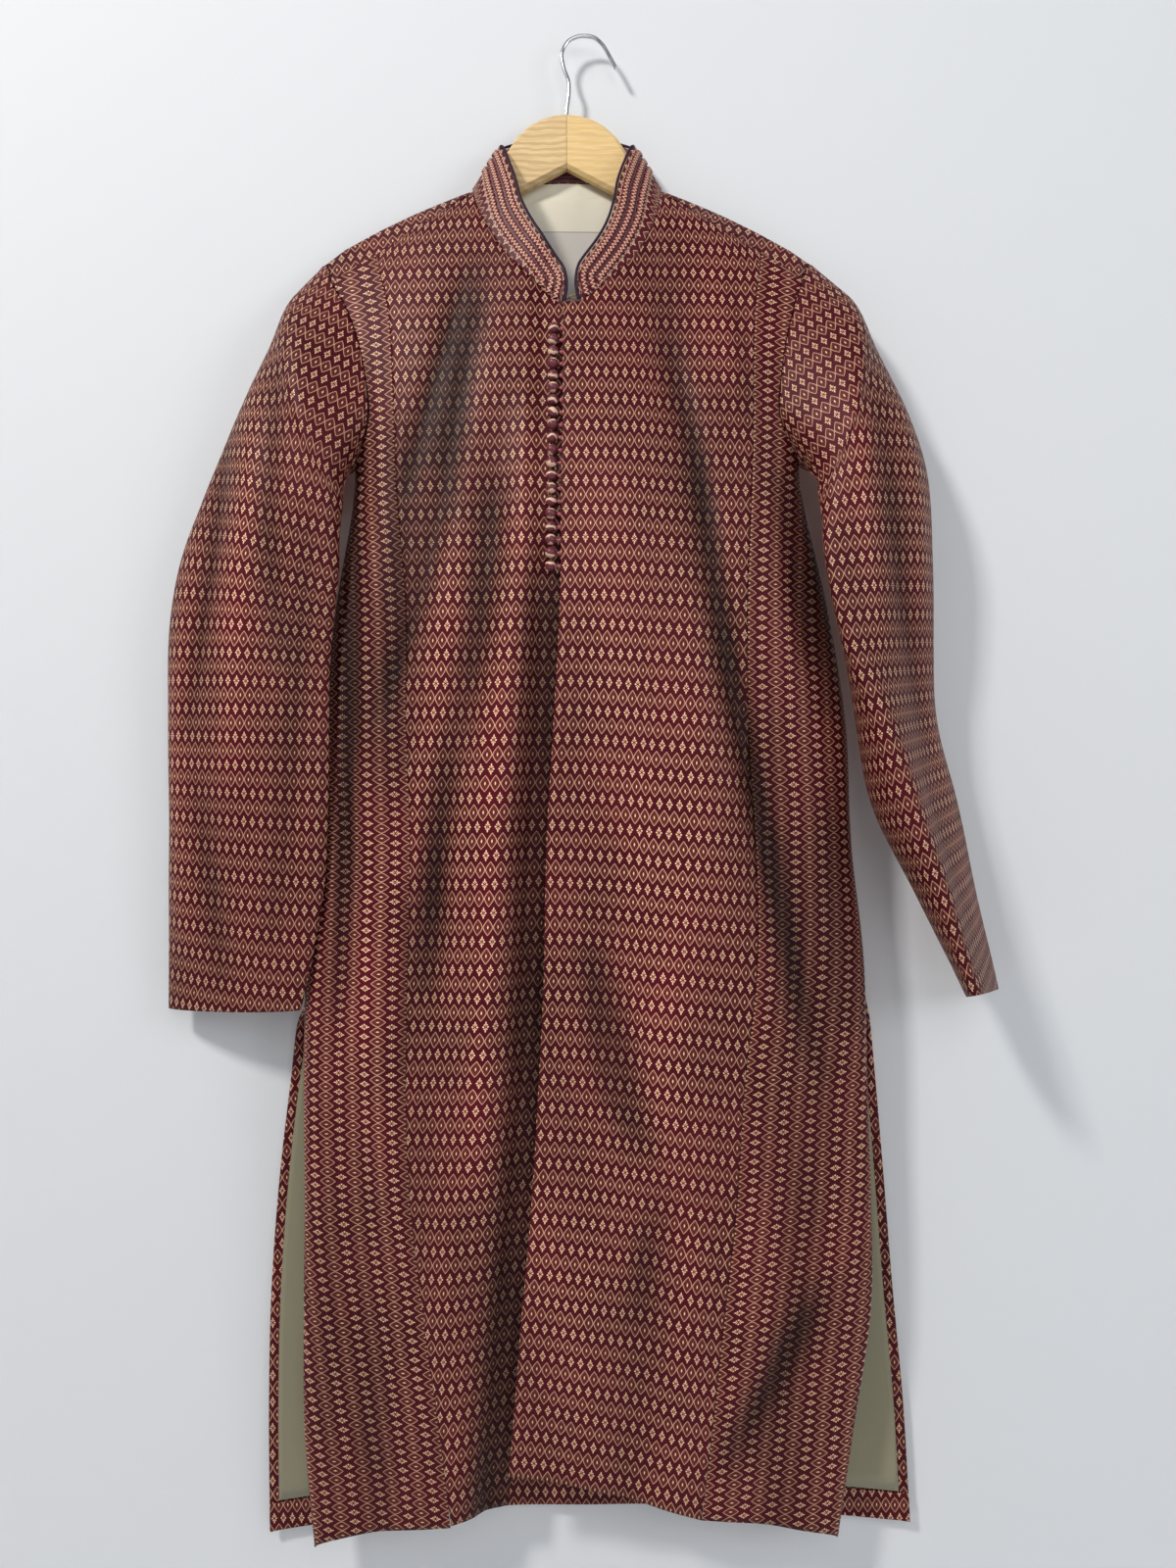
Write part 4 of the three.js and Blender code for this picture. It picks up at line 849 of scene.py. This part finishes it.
def sleeveGrid(side):
    rows = np.array(sleeveRows[side], float)
    frontEdge = sideFrontGrid(side, armRows, [1.0], False)[:, 0]
    column = 0 if side < 0 else backGrid.shape[1] - 1
    over = [backGrid[i][column] for i in (1, 2, 3, 4)]
    backEdge = [backGrid[5 + i][column] for i in (4, 3, 2, 1, 0)]
    rings = [np.array([over[1], over[0], *frontEdge, *backEdge, over[3], over[2]]) + np.array([side * 0.7, 0, 0])]
    outer = np.stack([rows[:, 0], coat["wall"] - rows[:, 2], rows[:, 1]], 1)
    inner = np.stack([rows[:, 3], coat["wall"] - rows[:, 5], rows[:, 4]], 1)
    middle = (outer + inner) / 2
    for i in range(len(rows)):
        axis = middle[min(i + 1, len(rows) - 1)] - middle[max(i - 1, 0)]
        out = np.cross(axis, inner[i] - outer[i])
        out = out / np.linalg.norm(out)
        if out[0] * side - out[1] < 0:
            out = -out
        fore, rear = middle[i] + out * rows[i, 6], middle[i] - out * rows[i, 7]
        a = np.radians(lerp(capAngles, evenAngles, smooth((i + 1) / 3)))[:, None]
        rings.append((outer[i] + inner[i] + fore + rear) / 4 + (outer[i] - inner[i]) * np.cos(a) / 2
                     + (fore - rear) * np.sin(a) / 2 + (outer[i] + inner[i] - fore - rear) * np.cos(2 * a) / 4)
    count = sleeveShape["rows"]
    grid = refine(np.array(rings), count, sleeveShape["cols"], True)
    n = normals(grid, -side, True)
    x, z, row = grid[..., 0], grid[..., 2], np.arange(count)
    fade = (smooth(row / sleeveShape["fadeIn"]) * smooth((count - row) / sleeveShape["fadeOut"]))[:, None]
    facing, folds = (-n[..., 1]).clip(0), foldField(sleeveFolds, x, z)
    push = (folds * facing + ripple(x, z, 1.5)) * fade
    # The second result is painted light and shade: darker in the sleeves' fold troughs, lighter on their ridges, on
    # the faces turned to the front.
    return grid + n * push[..., None], np.clip(folds * 0.15 * facing, -0.7, 0.45)


def sleeveMap(grid):
    # The weave runs straight down the arm's middle and straight across it.
    middle = grid.mean(axis=1)
    edge = sleeveShape["evenOut"]
    even = np.ones(2 * edge + 1) / (2 * edge + 1)
    wide = np.array([np.convolve(np.pad(middle[:, k], edge, "edge"), even, "valid") for k in range(3)]).T
    way = np.gradient(wide, axis=0)
    way /= np.linalg.norm(way, axis=1, keepdims=True)

    def travelled(line, along):
        return np.r_[0, np.cumsum((np.diff(line, axis=0) * (along[1:] + along[:-1]) / 2).sum(1))][:, None]
    beside = ((grid - middle[:, None]) * way[:, None]).sum(2)
    u = arcs(grid - beside[..., None] * way[:, None], 1)
    held = sleeveShape["held"]
    cross = grid[:, held + 2] - grid[:, held - 2]
    cross -= (cross * way).sum(1, keepdims=True) * way
    cross /= np.linalg.norm(cross, axis=1, keepdims=True)
    u = u - u[:, [held]] + travelled(grid[:, held], cross) + sleeveShape["shift"]
    return u, -(travelled(middle, way) + beside)


for side, label in ((-1, "right"), (1, "left")):
    grid, tone = sleeveGrid(side)
    u, v = sleeveMap(grid)
    piece = clothPiece("sleeve" + label.title(), grid, np.stack([u * side, v], -1), coat["cloth"], -side,
                       "sleeve_" + label, brocade, satinInside, "brocade", ring=True, tone=tone)
    cut, area = cutSize(arcWrap(grid), arcs(grid, 0)[-1])
print("sleeves made")

# ---- the collar ----
# x, z of the neck seam; x, z of the top edge; lean, or the two distances off the wall
collarRows = [(8.5, -249, 3.5, -226, 2, 0), (22.5, -237, 12.5, -211, 1, 0), (38.5, -221, 24.5, -193, 1, 0),
              (55, -204, 33.5, -177, 3, 0), (70, -177, 41, -159, 8, 0), (77.5, -156, 46, -137, 10, 0),
              (81.5, -138.5, 56, -106, 25, 32), (82.5, -133.6, 60, -98, 16, 20), (78, -127.5, 56, -93, 6, 7),
              (42, -123, 34, -87, 5, 5), (0, -121, 0, -84, 5, 5)]
collar = {"endRound": 13.0, "braidAt": [6.5, 14.5, 22.5], "braidWide": 5.0}


def collarEnds(side, row):
    x, z, topX, topZ, a, b = row
    lowX, highX = float(neckCentre(z)) + side * x, float(neckCentre(topZ)) + side * topX
    if b:
        off, topOff, above = a, b, 0.9
    else:
        off = float(frontOff(angleAt(lowX, z), z, False)[1]) - (float(sunk(lowX, z)) if side < 0 else 0)
        topOff, above = off + a, 0.15
    return (lowX, coat["wall"] - off, z + above), (highX, coat["wall"] - topOff, topZ)


ends = [collarEnds(-1, row) for row in collarRows] + [collarEnds(1, row) for row in collarRows[:-1][::-1]]
lowLine = refine(np.array([[e[0] for e in ends]] * 2), 2, 801)[0]
highLine = refine(np.array([[e[1] for e in ends]] * 2), 2, 801)[0]
halfWay = (lowLine + highLine) / 2
alongCollar = np.r_[0, np.cumsum(np.linalg.norm(np.diff(halfWay, axis=0), axis=1))]
collarLength = alongCollar[-1]


def collarAt(distance, down):
    low = np.stack([np.interp(distance, alongCollar, lowLine[:, k]) for k in range(3)], -1)
    high = np.stack([np.interp(distance, alongCollar, highLine[:, k]) for k in range(3)], -1)
    height = np.linalg.norm(high - low, axis=-1)
    return high + (low - high) * (down / height)[..., None], height


def collarOut(distance, down):
    a, b = collarAt(distance + 0.6, down)[0], collarAt(distance - 0.6, down)[0]
    c, d = collarAt(distance, down - 0.6)[0], collarAt(distance, down + 0.6)[0]
    n = np.cross(c - d, a - b)
    return n / np.linalg.norm(n, axis=-1, keepdims=True)


def collarBand(inside, rise, count=420, high=26):
    distance = np.linspace(0, collarLength, count)
    bend = (collar["endRound"] - np.minimum(distance, collarLength - distance)).clip(0)
    top = collar["endRound"] - np.sqrt((collar["endRound"] ** 2 - bend ** 2).clip(0))
    height = collarAt(distance, 0 * distance)[1]
    down = lerp(top[None, :], (height - rise)[None, :], np.linspace(0, 1, high)[:, None])
    spread = np.broadcast_to(distance[None, :], down.shape)
    return collarAt(spread, down)[0] - collarOut(spread, down) * inside, np.stack([spread, down], -1)


def makeCollarCloth():
    material, graph, shader = newMaterial("collarCloth")
    cloth = graph.uv()
    pattern = useWeave(graph, graph.stretch(cloth, (1, 1, 1), (0, 0.0085, 0)))
    u, v = graph.millimetres(cloth)
    thread = graph.mix(pattern["Glow"], (0.42, 0.2, 0.13, 1), (0.8, 0.53, 0.36, 1))
    base = graph.mix(pattern["Motif"], (0.075, 0.004, 0.010, 1), thread)

    def dotted(under, at, half, soft, step, gap, colour):
        along = graph.math("FRACT", graph.over(u, step))
        dots = graph.times(graph.between(v, at - half, at + half, soft), graph.between(along, gap, 1 - gap, 0.15))
        return graph.mix(dots, under, colour)

    # dark lines between the braids, and a dotted line by each edge
    for at in (10.5, 18.5):
        base = graph.mix(graph.between(v, at - 0.9, at + 0.9, 0.3), base, (0.060, 0.022, 0.040, 1))
        base = dotted(base, at, 0.35, 0.2, 2.2, 0.25, (0.42, 0.22, 0.16, 1))
    for at in (2.6, 27.2):
        base = dotted(base, at, 0.6, 0.25, 2.6, 0.2, (0.55, 0.32, 0.22, 1))
    graph.feed(shader, {"Base Color": base, "Roughness": 0.5, "Specular IOR Level": 0.2,
                        "Normal": graph.bump(pattern["Height"], 0.35, 0.0004)})
    return material


def makeBraid():
    material, graph, shader = newMaterial("braidThread")
    u, v = graph.millimetres(graph.uv())
    zigzag = graph.minus(graph.times(graph.math("PINGPONG", u, 1.7), 1.9), 1.6)
    band = graph.ramp(graph.math("ABSOLUTE", graph.minus(v, zigzag)), 0.95, 0.6)
    tone = graph.ramp(graph.math("FRACT", graph.times(graph.plus(u, v), 1.4)), 0.1, 0.5, 0.75, 1.0)
    cream = graph.mix(tone, (0.30, 0.11, 0.07, 1), (0.82, 0.54, 0.34, 1))
    graph.feed(shader, {
        "Base Color": graph.mix(band, (0.16, 0.012, 0.028, 1), cream),
        "Roughness": 0.55, "Specular IOR Level": 0.25,
        "Normal": graph.bump(graph.plus(band, graph.times(tone, 0.25)), 0.8, 0.0007),
    })
    return material


collarCloth, braidThread = makeCollarCloth(), makeBraid()
innerMaroon = makeLining("collarSatin", (0.16, 0.03, 0.04, 1))
outerCollar = clothPiece("collarOuter", *collarBand(0, 0), 1.1, -1, "collar_outer", collarCloth, innerMaroon,
                         "brocade")
innerCollar = clothPiece("collarInner", *collarBand(1.7, 2.5), 0.9, -1, "collar_inner", innerMaroon, innerMaroon,
                         "brocade")


def collarLine(inset, low, step=1.0):
    radius = max(collar["endRound"] - inset, 3.0)
    corner = inset + radius
    height = float(collarAt(np.array([float(inset)]), np.array([1.0]))[1][0]) - low
    rise = np.arange(height, corner, -step)
    angle = np.linspace(0, math.pi / 2, 14)
    bent = np.stack([corner - radius * np.cos(angle), corner - radius * np.sin(angle)], 1)
    start = np.concatenate([np.stack([np.full(len(rise), float(inset)), rise], 1), bent])
    run = np.arange(corner + step, collarLength - corner - step / 2, step)
    endPart = start[::-1].copy()
    endPart[:, 0] = collarLength - endPart[:, 0]
    return np.concatenate([start, np.stack([run, np.full(len(run), float(inset))], 1), endPart])


def collarAcross(line):
    # points along a line on the collar, the way out of the cloth and the way across the line
    spots, facing = collarAt(line[:, 0], line[:, 1])[0], collarOut(line[:, 0], line[:, 1])
    across = np.cross(np.gradient(spots, axis=0), facing)
    return spots, facing, across / np.linalg.norm(across, axis=1, keepdims=True)


def braidGrid(inset, out, bulge=0.45):
    spots, facing, across = collarAcross(collarLine(inset, 0.8))
    length = np.r_[0, np.cumsum(np.linalg.norm(np.diff(spots, axis=0), axis=1))]
    half, share = collar["braidWide"] / 2, np.linspace(-1, 1, 7)
    grid = np.stack([spots + across * (s * half) + facing * (out + bulge * (1 - s * s)) for s in share], 0)
    return grid, np.stack([np.stack([length, np.full(len(length), s * half)], -1) for s in share], 0)


for i, inset in enumerate(collar["braidAt"]):
    clothPiece(f"braid{i + 1}", *braidGrid(inset, 1.2), 0.8, 1, f"collar_braid_{i + 1}",
                             braidThread, braidThread, "braid")
print("collar made")


# ---- rods: piping, clasp, hook ----
def rod(name, points, radius, material, node, sides=12, perSpan=10):
    points = np.array(points, float)
    line = refine(np.stack([points, points]), 2, (len(points) - 1) * perSpan + 1)[0]
    along = np.gradient(line, axis=0)
    along /= np.linalg.norm(along, axis=1, keepdims=True)
    side = np.cross(along[0], (0.3, 1, 0.2))
    rings = []
    for spot, way in zip(line, along):
        side = side - way * side.dot(way)
        side = side / np.linalg.norm(side)
        other = np.cross(way, side)
        a = np.linspace(0, 2 * math.pi, sides, endpoint=False)[:, None]
        rings.append(spot + radius * (np.cos(a) * side + np.sin(a) * other))
    points = np.concatenate(rings)
    faces = []
    for i in range(len(line) - 1):
        for j in range(sides):
            k = (j + 1) % sides
            faces.append((i * sides + j, i * sides + k, (i + 1) * sides + k, (i + 1) * sides + j))
    faces.append(tuple(range(sides))[::-1])
    faces.append(tuple(range(len(points) - sides, len(points))))
    mesh = bpy.data.meshes.new(name)
    mesh.from_pydata((points * mm).tolist(), [], faces)
    mesh.materials.append(material)
    mesh.polygons.foreach_set("use_smooth", np.ones(len(faces), bool))
    return claim(linked(name, mesh), [node])


def makeMetal(name, colour, rough):
    material, graph, shader = newMaterial(name)
    wear = graph.noise(graph.place(), (400, 400, 60), 3.0)
    graph.feed(shader, {"Base Color": colour, "Metallic": 1.0,
                        "Roughness": graph.ramp(wear, 0.3, 0.7, rough, rough + 0.1)})
    return material


pipingCloth, graph, shader = newMaterial("pipingCloth")
twist = graph.noise(graph.place(), (900, 900, 900), 2.0)
graph.feed(shader, {"Base Color": graph.mix(twist, (0.018, 0.006, 0.016, 1), (0.05, 0.02, 0.04, 1)),
                    "Roughness": 0.6, "Specular IOR Level": 0.15})
spots, facing, across = collarAcross(collarLine(0, 2, 1.5))
rod("collarPiping", spots + across * 1.7 - facing * 1.28, 1.15, pipingCloth, "collar_piping", 12, 1)

brass = makeMetal("brassWire", (0.72, 0.46, 0.16, 1), 0.28)
chrome = makeMetal("chromeWire", (0.62, 0.63, 0.66, 1), 0.14)
claspZ = -243.0
claspX = float(neckCentre(claspZ))
claspY = float(frontPoint(angleAt(claspX, claspZ), claspZ, False)[1])
hookBend = [(-11, 10.2, 0), (-4.5, 10, 0), (-1.2, 7, 0), (1.4, 3.7, 0), (1, 2.1, 0), (-1, 1.9, 0)]
eyeBend = [(8.5, 3.9, 1.7), (3.5, 3.7, 1.8), (-0.3, 3.6, 0), (3.5, 3.7, -1.8), (8.5, 3.9, -1.7)]
for name, bend, node in (("claspHook", hookBend, "collar_hook"), ("claspEye", eyeBend, "collar_eye")):
    rod(name, [(claspX + x, claspY + y, claspZ + z) for x, y, z in bend], 0.42, brass, node)
hookPath = [(-16, -82), (-16, -66), (-14.2, -50), (-14.4, -38), (-18.6, -26), (-20.2, -14), (-15.6, -4),
            (-8, 0.6), (0, 1.75), (8.4, 0), (15.6, -6.4), (21.6, -16.4), (27, -26.5)]
rod("hangerHook", [(x, 0, z) for x, z in hookPath], 1.75, chrome, "hook", 24)

# ---- buttons and their loops, repeated down the opening ----
buttonRow = {"count": 20, "radius": 4.4, "topZ": -274.0, "pitch": 10.65, "fromEdge": 8.2, "turn": (0.35, 0.35, 0.6),
             "seed": 11}


def repeatPieces(name, spots, build, material, nodes):
    base = bpy.data.meshes.new(name + "Spots")
    base.from_pydata((np.array(spots) * mm).tolist(), [], [])
    obj = linked(name, base)
    tree = bpy.data.node_groups.new(name + "Nodes", "GeometryNodeTree")
    tree.interface.new_socket(name="Spots", in_out="INPUT", socket_type="NodeSocketGeometry")
    size = tree.interface.new_socket(name="Size", in_out="INPUT", socket_type="NodeSocketFloat")
    tree.interface.new_socket(name="Pieces", in_out="OUTPUT", socket_type="NodeSocketGeometry")
    graph = Graph(tree)
    start, end = graph.node("NodeGroupInput"), graph.node("NodeGroupOutput")
    ontoSpots = graph.feed(graph.node("GeometryNodeInstanceOnPoints"), {
        "Points": start.outputs["Spots"], "Instance": build(graph, start.outputs["Size"])})
    if name == "buttonRow":
        turn = graph.feed(graph.node("FunctionNodeRandomValue", data_type="FLOAT_VECTOR"), {
            0: tuple(-a for a in buttonRow["turn"]), 1: buttonRow["turn"], "Seed": buttonRow["seed"]})
        graph.put(ontoSpots.inputs["Rotation"], turn.outputs[0])
    realize = graph.feed(graph.node("GeometryNodeRealizeInstances"), {0: ontoSpots.outputs[0]})
    paint = graph.node("GeometryNodeSetMaterial")
    paint.inputs["Material"].default_value = material
    graph.put(paint.inputs["Geometry"], realize.outputs[0])
    graph.put(end.inputs[0], paint.outputs[0])
    modifier = obj.modifiers.new(name, "NODES")
    modifier.node_group = tree
    modifier[size.identifier] = buttonRow["radius"] * mm
    bpy.context.view_layer.update()
    made = bpy.data.meshes.new_from_object(obj.evaluated_get(bpy.context.evaluated_depsgraph_get()))
    obj.modifiers.clear()
    obj.data = made
    made.polygons.foreach_set("use_smooth", np.ones(len(made.polygons), bool))
    return claim(obj, nodes)


def sphere(graph, size, segments, rings):
    made = graph.node("GeometryNodeMeshUVSphere")
    return graph.feed(made, {"Segments": segments, "Rings": rings, "Radius": size}).outputs["Mesh"]


def ball(graph, size):
    return sphere(graph, size, 32, 20)


def loopEnd(graph, size):
    shape = graph.node("GeometryNodeTransform")
    graph.feed(shape, {"Geometry": sphere(graph, size, 20, 12), "Scale": (0.95, 0.24, 0.42)})
    return shape.outputs["Geometry"]


def rowSpots(fromEdge, shift):
    spots = []
    for i in range(buttonRow["count"]):
        z = buttonRow["topZ"] - i * buttonRow["pitch"]
        x = float(body["edge"](z)) - fromEdge
        spots.append(frontPoint(angleAt(x, z), z, False) + np.array(shift))
    return spots


buttonCloth, graph, shader = newMaterial("buttonCloth")
curl = graph.node("ShaderNodeTexWave", wave_type="RINGS", rings_direction="SPHERICAL")
graph.feed(curl, {"Vector": graph.place(), "Scale": 42.0, "Distortion": 5.0, "Detail Scale": 2.0})
marks = graph.ramp(curl.outputs["Fac"], 0.74, 0.84)
graph.feed(shader, {"Base Color": graph.mix(marks, (0.13, 0.018, 0.03, 1), (0.72, 0.48, 0.33, 1)),
                    "Roughness": 0.42, "Normal": graph.bump(marks, 0.4, 0.0003)})
loopSatin = makeLining("loopSatin", (0.36, 0.055, 0.075, 1))
buttonSpots = rowSpots(buttonRow["fromEdge"], (0, coat["recess"] - buttonRow["radius"] - 0.35, 0.9))
repeatPieces("buttonRow", buttonSpots, ball, buttonCloth,
             [f"button_{i + 1:02d}" for i in range(buttonRow["count"])])
repeatPieces("loopRow", rowSpots(-0.6, (0, 2.9, 0.5)), loopEnd, loopSatin, ["button_loops"])
print("buttons made")

# ---- the hanger keeps its solid form and gets its wood ----
def makeWood(name, light, dark, rough):
    material, graph, shader = newMaterial(name)
    place = graph.place()
    rings = graph.node("ShaderNodeTexWave", wave_type="BANDS", bands_direction="Z")
    stretched = graph.stretch(place, (0.6, 1, 1))
    graph.feed(rings, {"Vector": stretched, "Scale": 55.0, "Distortion": 5.0, "Detail": 2.0})
    slow, grain = graph.noise(place, (9, 9, 70), 3.0), graph.noise(place, (60, 400, 1500), 3.0)
    colour = graph.mix(graph.ramp(rings.outputs["Fac"], 0.35, 0.9), light, dark)
    colour = graph.mix(graph.ramp(grain, 0.35, 0.75, 0.0, 0.45), colour, shaded(dark, 0.7))
    graph.feed(shader, {"Base Color": graph.mix(graph.ramp(slow, 0.3, 0.8, 0.0, 0.3), colour, dark),
                        "Roughness": rough, "Normal": graph.bump(grain, 0.2, 0.0004)})
    return material


woodRight = makeWood("pineRough", (0.78, 0.56, 0.29, 1), (0.62, 0.41, 0.18, 1), 0.6)
woodLeft = makeWood("pineSmooth", (0.82, 0.58, 0.27, 1), (0.76, 0.50, 0.20, 1), 0.42)
for node, material in (("hanger_right", woodRight), ("hanger_left", woodLeft)):
    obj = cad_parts[node]
    obj.data.materials.clear()
    obj.data.materials.append(material)

# ---- wall and floor: seen from the front, and no bar to the light behind ----
wallPaint, graph, shader = newMaterial("wallPaint")
graph.feed(shader, {"Base Color": stage["pale"], "Roughness": 0.9})
behind = graph.node("ShaderNodeNewGeometry").outputs["Backfacing"]
through = graph.math("MAXIMUM", behind, graph.node("ShaderNodeLightPath").outputs["Is Shadow Ray"])
clear = graph.node("ShaderNodeBsdfTransparent")
blend = graph.feed(graph.node("ShaderNodeMixShader"), {0: through, 1: shader.outputs[0], 2: clear.outputs[0]})
graph.put(wallPaint.node_tree.nodes["Material Output"].inputs["Surface"], blend.outputs[0])
half, wall, low = stage["half"], stage["wallY"], stage["floorZ"]
for name, nearY, farZ in (("studioWall", wall, stage["topZ"]), ("studioFloor", stage["frontY"], low)):
    mesh = bpy.data.meshes.new(name)
    corners = [(-half, nearY, low), (half, nearY, low), (half, wall, farZ), (-half, wall, farZ)]
    mesh.from_pydata(corners, [], [(0, 1, 2, 3)])
    mesh.materials.append(wallPaint)
    linked(name, mesh)

print("stage made")
